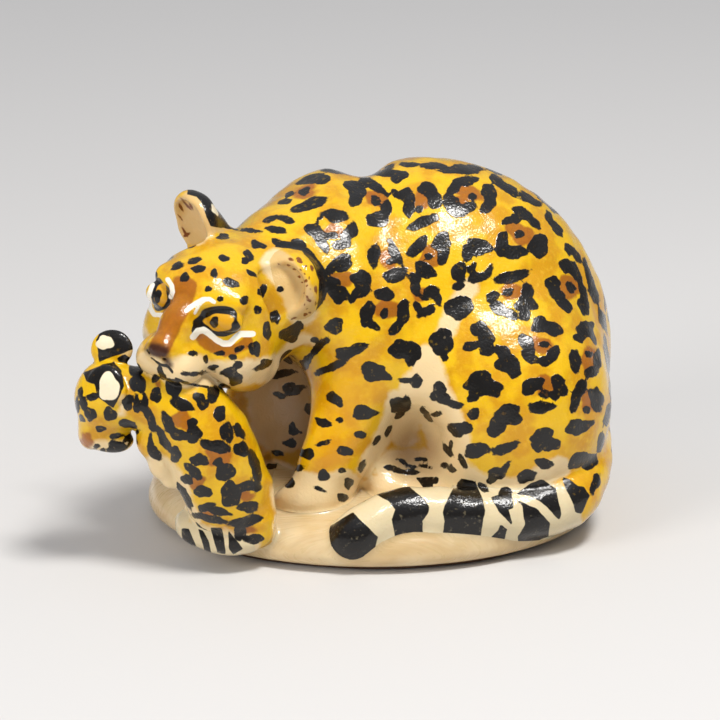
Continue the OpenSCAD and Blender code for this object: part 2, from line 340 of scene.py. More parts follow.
# Each ear's bowl: its shift out of, across and along the ear, and its size, as shares of the ear
BOWLS = {"left_ear": ((0.75, 0.05, -0.25), (1.1, 0.88, 1.1)),
         "right_ear": ((0.75, 0, -0.05), (1.05, 0.9, 0.88))}


def head_detail(d, P):
    """Sockets, eyeballs, nostrils and mouth line."""
    if (P[0] > HEAD + 14).any() or (P[-1] < HEAD - 14).any():
        return d
    for s in (-1, 1):
        d = smax(d, -measure(head_egg(7.4, 3.7 * s, 1.7, (1.5, 2.3, 1.1)), P), 0.9)
        d = smin(d, measure(head_egg(5.3, 3.5 * s, 1.6, (1.35, 2.1, 1.3)), P), 0.25)
        d = smax(d, -measure(head_egg(10.9, 0.8 * s, -1.9, (0.35, 0.3, 0.25)), P), 0.3)
        line = limb((on_head(10.4, 0, -3.3), 0.16), (on_head(9.6, 1.5 * s, -4.7), 0.2),
                    (on_head(6.6, 3.1 * s, -5.2), 0.2), (on_head(3.6, 4.6 * s, -4.8), 0.12))
        d = smax(d, -blend(line, P, 0.1), 0.25)
    d = smax(d, -blend(limb((on_head(10.7, 0, -2.2), 0.12), (on_head(10.4, 0, -3.3), 0.16)),
                       P, 0.1), 0.2)
    return d


def carve(P):
    """The whole carved surface, and each part's own distance for sharing it out."""
    raw = {n: part(n, P) for n in PARTS}
    d = raw["torso"]
    for n, k in JOIN.items():
        if n == "tail":
            for shape, soft in HOLLOWS:
                d = smax(d, -measure(shape, P), soft)
            d = smax(d, -blend(CREASE, P, 0.5), 2.2)
        d = smin(d, raw[n], k)
    head = smin(raw["head"], raw["lower_jaw"], 0.6)
    for n, (c, axes, r) in EARS.items():
        head = smin(head, raw[n], 1.1)
        slip, size = (np.array(r) * share for share in BOWLS[n])
        bowl = egg(c + axes @ slip, size, axes)
        head = smax(head, -measure(bowl, P), 0.7)
    head = head_detail(head, P)
    d = smin(d, head, 1.3)
    cub = smin(raw["cub_body"], raw["cub_head"], 0.9)
    for n in (*CUB_LIMBS, *CUB_EARS):
        cub = smin(cub, raw[n], 0.5)
    d = smin(d, cub, 0.35)
    raw["base"] = plinth(P)
    return smin(d, raw["base"], 0.8), raw


def wobble(P):
    """The slight unevenness of a knife-carved and sanded surface."""
    x, y, z = P[1:-1].T
    return (np.sin(1.1 * x + 0.6 * y) * np.sin(0.9 * z - 0.7 * x) +
            0.6 * np.sin(1.9 * y + 1.2 * z) * np.sin(1.6 * x - 0.8 * z)) * 0.055


LAP = 0.01


def share_of(name, P, cell=6.0):
    """The carved surface and the seam of one piece, which laps its neighbours by a hair."""
    def work(q):
        d, raw = carve(q)
        mine = raw.pop(name)
        other = np.full(len(q) - 2, REACH)
        for r in raw.values():
            if not isinstance(r, float):
                other = np.minimum(other, r)
        d = smax(d + wobble(q) * (name != "base"), SKIN_TOP - q[1:-1, 2], 0.01)
        return d, (mine - other) * 0.5 - LAP
    return in_batches(P, work, cell)


# ---- meshing ----

BLOCK = 8


def lattice(counts):
    """Whole-numbered points of a box, as rows."""
    return np.stack(np.meshgrid(*map(np.arange, counts), indexing="ij"), -1).reshape(-1, 3)


def net(name, lo, hi, step):
    """Dual mesh of a piece, and for each of its points whether it is on surface or seam."""
    n = np.ceil((hi - lo) / (step * BLOCK)).astype(int) + 1
    grid = lattice(n)
    coarse = np.maximum(*share_of(name, lo + (grid + 0.5) * step * BLOCK, 60))
    shape = n * BLOCK
    surf = np.empty((n[0], BLOCK, n[1], BLOCK, n[2], BLOCK), np.float32)
    surf[...] = coarse.reshape(n[0], 1, n[1], 1, n[2], 1)
    surf = surf.reshape(shape)
    seam = np.full(shape, -9, np.float32)
    # Only the blocks near the surface are measured point by point
    live = grid[np.abs(coarse) < step * BLOCK * 1.3 + 0.3]
    at = (live[:, None, :] * BLOCK + lattice((BLOCK,) * 3)).reshape(-1, 3)
    f, w = share_of(name, lo + at * step)
    surf[tuple(at.T)], seam[tuple(at.T)] = f, w
    for side in (surf[0], surf[-1], surf[:, 0], surf[:, -1], surf[:, :, 0], surf[:, :, -1]):
        side[...] = 1
    field = np.maximum(surf, seam)
    filled = field < 0
    count = sum(filled[i:shape[0] - 1 + i, j:shape[1] - 1 + j, k:shape[2] - 1 + k].astype(np.int8)
                for i, j, k in lattice((2, 2, 2)))
    cells = np.argwhere((count > 0) & (count < 8))
    index = np.full(shape - 1, -1, np.int32)
    index[tuple(cells.T)] = np.arange(len(cells))
    total, hits = np.zeros((len(cells), 3)), np.zeros(len(cells))
    kind = np.zeros((len(cells), 2), bool)
    quads = []
    for axis in range(3):
        along, p, q = np.roll(np.eye(3, dtype=int), -axis, axis=0)
        for u in (0, 1):
            for v in (0, 1):
                a = cells + u * p + v * q
                b = a + along
                fa, fb = field[tuple(a.T)], field[tuple(b.T)]
                m = np.flatnonzero((fa < 0) != (fb < 0))
                t = fa[m] / (fa[m] - fb[m])
                total[m] += a[m] + t[:, None] * along
                hits[m] += 1
                out = np.where((fa[m] > 0)[:, None], a[m], b[m])
                on_seam = seam[tuple(out.T)] > surf[tuple(out.T)]
                kind[m[~on_seam], 0] = True
                kind[m[on_seam], 1] = True
        s = shape - along
        fa, fb = filled[:s[0], :s[1], :s[2]], filled[along[0]:, along[1]:, along[2]:]
        for sign in (True, False):
            at = np.argwhere((fa == sign) & (fb != sign))
            ring = np.stack([index[tuple((at - k).T)] for k in (0 * p, p, p + q, q)], 1)
            quads.append(ring if sign else ring[:, ::-1])
    return lo + total / hits[:, None] * step, np.vstack(quads), kind


TET = np.array([[1, -1, -1], [-1, -1, 1], [-1, 1, -1], [1, 1, 1]], float)


def slopes(name, P, e=0.03):
    """Surface and seam values with their gradients."""
    Q = np.vstack([P] + [P + t * e for t in TET])
    f, w = (v.reshape(5, -1) for v in share_of(name, Q))
    gf = sum(t * (v - f[0])[:, None] for t, v in zip(TET, f[1:])) / (4 * e)
    gw = sum(t * (v - w[0])[:, None] for t, v in zip(TET, w[1:])) / (4 * e)
    return f[0], w[0], gf, gw


def settle(name, P, kind, step):
    """Moves mesh points onto the surface, the seam, or the edge where the two meet."""
    two = kind.all(1)
    for _ in range(2):
        f, w, gf, gw = slopes(name, P)
        a, b = np.sum(gf * gf, 1) + 1e-6, np.sum(gw * gw, 1) + 1e-6
        c = np.sum(gf * gw, 1)
        det = np.maximum(a * b - c * c, 0.1 * a * b)
        x = np.where(two, (w * c - f * b) / det, np.where(kind[:, 0], -f / a, 0))
        y = np.where(two, (f * c - w * a) / det, np.where(kind[:, 1], -w / b, 0))
        move = x[:, None] * gf + y[:, None] * gw
        far = np.linalg.norm(move, axis=1)
        P = P + move * np.minimum(1, 0.9 * step / np.maximum(far, 1e-9))[:, None]
    return P, gf, gw


# Mesh spacing of each piece; the rest use FINEST
FINEST = 0.18
STEPS = {"torso": 0.34, "left_haunch": 0.34, "right_haunch": 0.4, "base": 0.36, "head": 0.2,
         "lower_jaw": 0.2, "tail": 0.22, "left_foreleg": 0.28,
         "right_foreleg": 0.36, "left_hind_foot": 0.28, "right_hind_foot": 0.36,
         "left_ear": 0.16, "right_ear": 0.16, "cub_left_ear": 0.12, "cub_right_ear": 0.12}


def reach_of(name):
    """Low and high corner of the space that a piece is looked for in."""
    if name == "base":
        return np.array([*-BASE_HALF, 0]) - 1, np.array([*BASE_HALF, CROWN + 1]) + 1
    lo, hi = HULLS[name]
    return lo - 1.5, hi + 1.5


def make_mesh(name, P, faces, normals=None):
    """A smooth-shaded object from points in model mm."""
    mesh = bpy.data.meshes.new(name + "_carved")
    sides = faces.shape[1]
    mesh.vertices.add(len(P))
    mesh.vertices.foreach_set("co", (P * MM).ravel())
    mesh.loops.add(faces.size)
    mesh.loops.foreach_set("vertex_index", faces.ravel())
    mesh.polygons.add(len(faces))
    mesh.polygons.foreach_set("loop_start", np.arange(0, faces.size, sides))
    mesh.update(calc_edges=True)
    mesh.polygons.foreach_set("use_smooth", np.ones(len(faces), bool))
    if normals is not None:
        mesh.normals_split_custom_set(normals)
    obj = bpy.data.objects.new(name + "_carved", mesh)
    bpy.context.scene.collection.objects.link(obj)
    return obj


def sculpt(name):
    """One carved piece: its points, its faces and its object."""
    step = STEPS.get(name, FINEST) * FINE
    lo, hi = reach_of(name)
    lo[2] = max(lo[2], -1)
    P, quads, kind = net(name, lo, hi, step)
    P, gf, gw = settle(name, P, kind, step)
    skin_face = kind[quads, 0].all(1)
    n = np.where(skin_face[:, None, None], gf[quads], gw[quads]).reshape(-1, 3)
    n /= np.linalg.norm(n, axis=1, keepdims=True) + 1e-9
    return P, quads, make_mesh(name, P, quads, n)


def nut_skin():
    """The slice of dark skin left under the plinth: an oval slab with worn edges."""
    count = 96
    turns = np.linspace(0, 2 * math.pi, count, endpoint=False)
    ring = np.column_stack([np.cos(turns), np.sin(turns)]) * BASE_HALF
    ring *= (1 + 0.006 * np.sin(5 * turns + 1) + 0.004 * np.sin(11 * turns))[:, None]
    profile = [(0.02, 0), (0.5, 0), (0.88, 0), (0.905, 0.08), (0.918, 0.25), (0.92, SKIN_TOP),
               (0.91, SKIN_TOP + 0.2), (0.5, SKIN_TOP + 0.2), (0.02, SKIN_TOP + 0.2)]
    P = np.vstack([np.column_stack([ring * share, np.full(count, z)]) for share, z in profile])
    i = np.arange(count)
    j = (i + 1) % count
    band = np.column_stack([i, j, j + count, i + count])
    return P, np.vstack([band + k * count for k in range(len(profile) - 1)])


# ---- paint ----
# Marks are placed as seen from the front: (u, w) in mm across and up the plane that faces the
# camera through the middle of the figure, cast onto the carved surface along the sight line.

TILT, AWAY = math.radians(19), 400.0
AIM = np.array([-1.34, 0, 16.4])
AIM_W = 15.5
UP = np.array([0, math.sin(TILT), math.cos(TILT)])
DEEP = np.array([0, math.cos(TILT), -math.sin(TILT)])
EYE = AIM - DEEP * AWAY


def seen(P):
    """Place (u, w) and depth of points."""
    q = P - AIM
    deep = q @ DEEP
    s = AWAY / (AWAY + deep)
    return q[:, 0] * s + AIM[0], q @ UP * s + AIM_W, deep


def cast(uv):
    """Depth and surface direction where the sight lines through the places meet the carving."""
    deep, n = np.zeros(len(uv)), np.zeros((len(uv), 3))
    for i, (u, w) in enumerate(uv):
        goal = AIM + (u - AIM[0], 0, 0) + (w - AIM_W) * UP
        ray = Vector(goal - EYE).normalized()
        for shift in (0, 0.3, -0.3, 0.7, -0.7):
            hit, normal, _, _ = SOLID.ray_cast(Vector(EYE) + Vector((shift, 0, -shift)), ray)
            if hit is not None:
                deep[i], n[i] = (np.array(hit) - AIM) @ DEEP, normal
                break
    return deep, n


# Dabs of the brush: (u, w, half length, half width, turn in degrees, or 0 if left out)
BODY = [
    # neck and shoulder
    (-6.3, 34.2, 1.5, .45, 10), (-5.2, 34.2, .6, .5), (-3.2, 35, 1.9, .2, -8),
    (-7, 33, .5, .3, 15), (-6.5, 31.6, 1.6, .5, 22), (-1.7, 32.6, 1.2, .8, 80),
    (-2.2, 33.5, .6, .45), (0, 33.6, 1.3, .38, -35), (.3, 32, .5, .3, -60), (.4, 30, 1.1, .65),
    (1.35, 31, .9, .4, 80), (-3.8, 30.4, 1.1, .6), (-6.4, 29, .6, .5), (-5.7, 28.6, 1, .5, -50),
    (-5.2, 27.4, .75, .4, -55), (-5.6, 30, .35, .15, 80), (-2.4, 28.7, 1, .6, 60),
    (-3.2, 27.5, .8, .45, 25), (-4.2, 28.4, .45, .28, 10), (-3.3, 25.5, 1.2, .75, 10),
    (-4.5, 24.9, .5, .3, 40), (-4.4, 23.3, .8, .7), (-3.6, 22.3, 1, .85), (-1.2, 23.9, .9, .8),
    (-1.2, 22.7, .9, .6, 30), (-2.1, 21.9, .45, .2, 60), (.1, 26.3, 1.25, .45, 83),
    (2.3, 26.5, 1.35, .38, -58), (2.3, 24.3, 1.1, .65, 10), (1.7, 25.7, .28, .25),
    (1.2, 22.3, .9, .65), (-.6, 20.3, 1.1, .65, 80), (.1, 19, .5, .3, -30), (3.1, 20.5, 1, .6, 85),
    (2.4, 18.9, .95, .4, 40), (1.2, 20.4, .4, .25, 70), (-4, 19, .8, .7), (-2.8, 16.2, .9, .6),
    (-1.6, 16.7, .85, .5, 20), (-6.1, 17.6, .3, .15, 15), (-5.1, 17.3, .5, .2, 30),
    (-5.8, 16.6, 1.2, .25, 50), (-6.7, 15.5, .9, .35, 60), (-7.1, 15, .6, .45),
    (-4.4, 14.7, 1.4, .32, 20), (2.9, 16.6, 1.05, .95), (4, 16.4, .9, .95), (3.9, 15.4, .5, .5),
    (0, 14.3, 1.2, .85), (1, 13.9, .75, .4, -15),
    # ribs and flank
    (7.1, 17.2, 1.2, 1.05), (7.4, 18.3, .6, .5), (7.4, 15.8, .35, .35), (4.8, 20.8, .7, .3, -60),
    (5.6, 20.6, .9, .35, 35), (4.3, 23.9, .55, .5), (4.4, 22.9, .7, .4, -75),
    (6, 22.7, .75, .35, 15), (6.6, 22, .75, .35, -65), (5.4, 21.9, .25, .15),
    (5.4, 24.8, 1.1, .65, -45), (4.6, 27.2, 1.1, .6, 45), (7.1, 27.7, .95, .8),
    (7.3, 26.4, 1, .4, 75), (5.8, 26.2, .3, .3), (5.2, 29.8, 1.5, .5, 25),
    (3.6, 32.4, .8, .65, -60), (3.7, 31.2, .8, .5, 80), (2.4, 32.6, .5, .2, -50),
    (5.6, 33.3, .8, .6), (6.3, 32.2, 1, .7, -60), (4.75, 31.1, .3, .3), (1.4, 34.8, 1.2, .3),
    (2.7, 34.5, .8, .5, 30), (-.4, 35.1, .7, .15), (1.7, 35.5, .5, .15), (3.7, 35.7, .75, .25),
    (6.3, 35.6, 1.1, .35), (8.4, 33.4, .7, .45, 50), (9.5, 34, 1, .4, 5), (11.9, 33, .7, .6),
    (12.2, 32.3, .9, .5, -70), (11.8, 31.3, .7, .45, 50), (10.3, 32.4, .35, .3),
    (8.1, 31.8, .8, .8), (8.7, 31, 1.1, .6, -20), (9.8, 31.2, .8, .45, 35), (9.2, 35.2, 1.9, .38),
    (12.9, 34, .8, .4, -45), (14, 33.2, 1, .38, -30), (16.2, 32.1, 1.15, .4, -25),
    (12.5, 35, .6, .2, -25), (15.4, 30.7, .9, .5, -25), (16.4, 29.9, .8, .3, -40),
    (14.8, 30.2, .5, .4), (13.9, 29.9, .5, .3, 30), (13.4, 27.8, .6, .8), (13.5, 26.9, .7, .6),
    (14.7, 26.6, 1, .7), (17.1, 27.3, 1.05, 1.1), (15.1, 28.5, .4, .35), (18.3, 30.1, .8, .3, -65),
    (18.9, 29.2, 1, .35, -50), (20.3, 26.9, .6, .35, -50), (21, 26.3, .7, .3, -55),
    (22.6, 23.2, 1.9, .35, -72), (10.9, 27.2, 1.2, .8, -20), (9.7, 26.6, .5, .75),
    (8.9, 24.5, 1, .6, 80), (8.8, 23.2, .5, .4), (10.3, 25.1, .5, .25, 65),
    (11, 24.1, 1.1, .4, 20), (11.9, 24.6, .6, .3, 60), (14.4, 24.1, 1.7, .48, 18),
    (12.4, 22, .6, .5), (12.9, 21, .8, .55, -50), (14, 20.3, .8, .42, -15), (14, 22.5, .45, .3, 5),
    (16, 22.4, .9, .5, 85), (15.8, 21.3, 1, .75), (15.7, 20.2, .6, .4, 90),
    (8.9, 20.9, 1.4, 1, 25), (9.5, 21.4, .8, .6, -20),
    # haunch and rump
    (20.1, 25.2, .8, .6), (20.9, 24.6, .9, .4, -60), (21.4, 23.8, .5, .2, -70),
    (18.6, 23.4, .75, .7), (18.9, 22.4, .9, .5, -50), (19.8, 21.2, .75, .5, -30),
    (21.6, 22.8, .6, .25, -70), (21.8, 21.3, 1, .5, -80), (20.5, 23, .55, .33, -55),
    (23.8, 19.5, 1.2, .3, -65), (22, 18.7, 1, .8), (22.8, 17.7, .35, .45), (21.3, 17.8, .5, .4),
    (20.9, 15.4, 1.1, .5, 88), (22.5, 14.2, .7, .4, 20), (23.2, 15.5, 1.2, .3, 80),
    (24.2, 15.7, 1.8, .25, -83), (22.3, 16.1, .28, .25), (17.3, 19.1, .9, .7),
    (18.6, 18.7, .9, .65, -40), (15.8, 17.3, .7, .75), (16, 16.2, .7, .6, -60),
    (16.5, 15.6, .6, .4, -30), (18.6, 16.1, .9, .5, 45), (17.9, 15.4, .6, .4, 20),
    (17.6, 17.1, .4, .25), (11, 18.7, .7, .8), (11.7, 17.8, .9, .8), (11.9, 16.6, .75, .6),
    (10.4, 17, .9, .4, 10), (13.4, 16.3, .7, .7), (13.9, 15.2, 1.1, 1), (14.5, 14.4, .7, .6),
    (11, 13.1, 1.5, 1.1), (12.3, 12.6, 1.1, .75, -20), (10.3, 11.7, .6, .4, 30),
    (16.2, 12.7, .75, .75), (17, 13, .65, .5, 20), (19.1, 13.3, .65, .5), (19.4, 12.5, .6, .7),
    (18.9, 11.9, .6, .4, 50), (17.7, 12, .38, .3), (17.4, 10.6, 1.1, .6),
    (21.5, 12.6, .9, .45, 60), (20.9, 11.3, 1.1, .42, 75), (23.1, 11.4, 1.2, .6, -75),
    (22.1, 10.3, .3, .3), (24.7, 12.8, 1.1, .3, 85), (24.3, 9.9, 1.3, .55, 65),
    (20.9, 8.5, .9, .7), (21.9, 8.7, .8, .45, 25), (13.8, 10, 1.2, .8, 10), (12.9, 8.8, .9, .8),
    (12.5, 8.1, .6, .5), (14.6, 9.3, .7, .45, 20), (13.7, 6.4, 1.15, .42, 28),
    (17.6, 7.5, 1.1, .85), (18.3, 6.9, 1, .7), (17, 6.8, .6, .7), (23.6, 7, .65, .9),
    (21, 5, .8, .6, 45), (22.2, 5.1, 1.1, .8), (12.8, 3.8, .8, .45), (13.5, 4.2, .7, .25, 55),
    (12.3, 3.2, .45, .3, 30), (15.9, 3.5, .95, .5, 20), (17.7, 4.8, .75, .42, -20),
    (13.6, 1.9, .5, .45), (23, 2.8, .9, .35, 75),
    # foreleg, chest and belly
    (-4, 11.5, .75, .45, -40), (-1, 10.1, 1, .62), (.1, 10, .45, .15), (2.6, 10.9, .75, .8),
    (3.5, 11, .75, .35, 80), (2.7, 9.9, .4, .5), (4.5, 13.3, .5, .6), (3.4, 13.4, .45, .13),
    (6.9, 12.5, .65, .6), (6.5, 11.8, .5, .4), (7.3, 11.5, .65, .6), (8.4, 10.9, .75, .28, -15),
    (5.3, 10.2, .45, .65), (5.8, 9.5, .55, .55), (6.5, 9.9, .4, .12, 10), (10.4, 9.9, .5, .5),
    (8.7, 8.3, .9, .6), (9.7, 8.5, .55, .45, 50), (10.7, 6.2, 1.1, .75, 15),
    (7.7, 6.2, .8, .28, -50), (8, 6.7, .3, .15, 70), (9.3, 5, .55, .2, -65),
    (-6.6, 10.5, .65, .38, 50), (-5.1, 9, .7, .33, -25), (-3.4, 9.3, .22, .2),
    (-1.3, 7.8, .42, .28), (-8.3, 8.4, .35, .5), (-8, 8.1, .45, .2, -20), (-8.6, 6.9, .5, .33),
    (-9.9, 5.9, .6, .2, -8), (-6.8, 5.8, .65, .45, -10), (-2.9, 6.1, .65, .45, -15),
    (-10.3, 4.5, .45, .2), (-7.5, 4.4, .45, .18, 25), (-5.1, 3.6, .5, .42), (-3.2, 4.1, .2, .18),
    (-1.2, 4.5, .5, .25, 65), (-8.6, 2.8, .55, .45, -30), (-2.5, 2.8, .33, .45),
    (-5.4, 2.1, .4, .12, -20), (-3.2, 1.3, .45, .33, -30), (-5.2, 6.9, .45, .18, 20),
    (-8.7, 12.7, .6, .4), (-7.7, 12.6, .6, .2, 10), (-8.2, 12.2, .6, .28, 20),
    (-9.3, 14.1, 1.1, .28, 12), (-9.6, 11.8, .45, .2, -20), (-8.9, 15.8, .7, .45),
    (-11, 15.2, .7, .35), (1.6, 8.2, .45, .2, 65), (.35, 7.2, .4, .2, 45), (1.9, 4.4, .4, .13),
    (3.6, 3.9, .8, .16, -5), (4, 4.5, .3, .1), (5, 5.2, .4, .17), (5.4, 4.5, .4, .12, -10),
    (7.5, 4.6, .3, .12), (8.1, 4.2, .35, .16, -10), (2.9, 5.1, .3, .12, -20), (6.3, 3, .4, .2, 20),
    (9.2, 2.6, .42, .42), (11.3, 2.3, .45, .25, -50),
]
BROWN = [
    (.4, 32.2, 1.2, .9, -30), (-4, 28.8, 1, .9), (-3.1, 23.9, 1.3, .8), (1.5, 25.8, 1.2, .8, -70),
    (1.5, 20.8, 1.3, 1.1), (4.9, 22.3, .9, .8), (6, 26.2, 1.3, 1.1), (4.9, 32, .8, 1),
    (9.9, 32.8, 1.6, .8, -15), (15.2, 28.6, 1.8, 1, -25), (14.3, 22.6, 1.3, .9),
    (20.2, 23, 1.1, 1.5, 20), (22.3, 15.6, .8, 1.3), (17.4, 17, 1.4, .9), (17.9, 12.8, 1.2, 1),
    (22.2, 11.2, .8, 1.2), (-7, 32.9, 1.4, .7, 10), (8.8, 31.9, .8, .7),
]
HEAD_INK = [
    (-15.5, 28.2, .65, .33, 15), (-15.4, 26, .45, .3), (-12.9, 26.4, .5, .35, -40),
    (-13.1, 25.8, .4, .4), (-11.8, 27.4, .75, .3, -15), (-18.4, 25.8, .55, .28, 20),
    (-20.2, 25.2, .6, .25, 20), (-18, 24.9, .55, .28), (-16.4, 24.5, .35, .4),
    (-19.5, 24, .45, .35, 30), (-14.7, 23.5, .7, .4, -25), (-17, 22.9, .35, .3),
    (-15.8, 21.8, .38, .28), (-13.3, 21.7, .42, .42), (-11.5, 22.6, .8, .42, 65),
    (-12.6, 24.4, .4, .12, -30), (-11.9, 20.7, .35, .42), (-9.6, 22.8, .25, .15, 10),
    (-10.1, 19.9, .5, .7), (-11, 18.4, .38, .7), (-8.6, 18.2, 1.1, .85, 25), (-7.7, 19, .5, .5),
    (-12.2, 16.7, .5, .75), (-13.8, 16.7, .45, .28, 20), (-15.8, 16.2, .4, .22, 10),
    (-14.5, 15.8, .33, .18), (-17.3, 15.5, .22, .33), (-16.6, 14.75, .33, .17),
    (-13.9, 15, .42, .33), (-11.2, 15, 1.05, .33, 25), (-8.8, 15.5, .8, .45, 20),
    (-14.9, 14.2, .8, .5), (-14.2, 13.6, .8, .75), (-15.4, 12.8, .5, .4), (-18.7, 16.2, .35, .18),
    (-19.3, 14.1, .4, .12), (-18.1, 14.1, .7, .14, 5), (-10.4, 30.1, .7, .2, 20),
    (-9, 30, .8, .35, -15), (-10, 29, .9, .3, -15), (-12.8, 28.9, 1.1, .17, -8),
    (-9.1, 31.9, .6, .4, 10), (-8.7, 32.6, .4, .5), (-9.8, 27.6, .55, .3, -30),
    (-7.6, 27.5, .7, .5, -20),
]
CUB_INK = [
    (-30.2, 12.1, .15, .3), (-29.9, 11.1, .25, .45), (-30.6, 10.8, .13, .4), (-29, 11.7, .45, .25),
    (-29.2, 9.9, .5, .5), (-27.2, 9.9, .55, .5), (-25.4, 8.9, .6, .33, -20), (-28.1, 8.4, .3, .2),
    (-26.4, 7.65, .4, .13, 5), (-25.1, 7.6, .6, .15, 35), (-26.5, 6.5, .75, .52),
    (-28.5, 6.6, .2, .15), (-27.9, 6.2, .2, .2), (-25.3, 11.1, .4, .55), (-24.4, 11, .25, .6),
    (-30.1, 9.5, .2, .3), (-24.5, 14.4, .5, .6), (-24.3, 13.1, .6, .8), (-25.7, 15.6, .4, .28),
    (-22.4, 13.8, .5, .25, 70), (-21.8, 13.9, .6, .25, -70), (-22.4, 11.9, .42, .6),
    (-20.6, 12.7, .6, .85), (-23.6, 11, .22, .6), (-23, 9.4, 1, .28, -70),
    (-21.6, 7.2, 1, .28, -65), (-19.8, 11, 1, .52, -25), (-18, 11.6, .45, .42),
    (-17.6, 10.9, .45, .4), (-16.5, 12, .45, .7), (-15.9, 9.9, .5, .58), (-21.2, 9, .9, .38, -70),
    (-20.3, 7.9, .9, .42, -20), (-18.7, 9, .38, .4), (-18.5, 7.8, .55, .7), (-20.4, 5.7, .45, .55),
    (-23, 6.9, .22, .6), (-22.6, 6, .7, .33, -40), (-17.9, 5.2, .65, .5),
    (-16.2, 6.6, 1.1, .48, -10), (-16, 4.9, .38, .33), (-15.3, 3.9, .75, .75),
    (-15.1, 8.1, .5, .8), (-13.6, 6.3, .6, .62), (-13.8, 8.1, .6, .33, -60),
    (-12.2, 4.6, 1.2, .42, -75), (-18.6, 4, .85, .38, -35), (-19.2, 3.2, .4, .45),
    (-17.5, 1.9, .65, .48), (-19.4, 1.4, 1.1, .3, -65), (-17.2, .3, .6, .28, 10),
    (-16, -.1, .9, .28, -20), (-16.8, -.9, 1.2, .25, -10), (-14.7, 1.6, .9, 1),
    (-12.9, 2.4, 1, .4, 5), (-12.9, .3, .9, .38), (-13.2, -1.2, 1.2, .4, 15),
    (-13.8, -2.2, .45, .7), (-12.4, -3, .7, .35),
]
CUB_BROWN = [
    (-29.6, 7.3, .9, .65, -30), (-22.2, 13, .4, .6), (-19.7, 9.3, 1, 1.1), (-16, 5.6, 1.4, 1.1),
    (-18.2, 2.9, .9, .8), (-16.8, -.3, .9, .45), (-13.3, 1.5, 1, .6), (-12.9, -2, .7, .45),
]
EAR_BROWN = [
    (-8.5, 25.9, .35, .15, -10), (-7.6, 25.8, .25, .3), (-8.7, 25.3, .2, .12),
    (-8.1, 24.9, .2, .15), (-7.6, 24.1, .18, .15), (-6.9, 23.7, .15, .2), (-7.3, 23.5, .13, .12),
    (-5.9, 22.8, .15, .35), (-6.7, 21.7, .18, .12), (-5.9, 21.3, .15, .25), (-7, 20.2, .2, .2),
    (-8.2, 19.8, .3, .12, 20), (-9.7, 25.4, .25, .1, -30), (-6.3, 25, .15, .3, 20),
    (-19.3, 31.6, .8, .1, -50), (-18.8, 31.4, .7, .1, -65), (-19.9, 30.2, .4, .12, -50),
    (-19.5, 28.8, .5, .12, -60), (-19.3, 28.4, .35, .15, 30), (-19.8, 31.2, .5, .1, -60),
]
# Stippling round the rim of the near ear
EAR_BROWN += [(-6.5 - 0.3 * (k % 3) - 0.12 * max(k - 8, 0), 20.4 + 0.4 * k, .15, .11, 30 * k)
              for k in range(15)]
AMBER_EYES = [(-15.9, 19.4, 1.6, .88, -8), (-21.9, 22.2, .7, 1.1, 0)]
PUPILS = [(-16.4, 19.4, .5, .56, 0), (-22.25, 22.1, .4, .72, 0)]
LIDS = [(-16, 19.5, 2.55, 1.45, -8), (-22, 22.2, 1.15, 1.6, 0)]
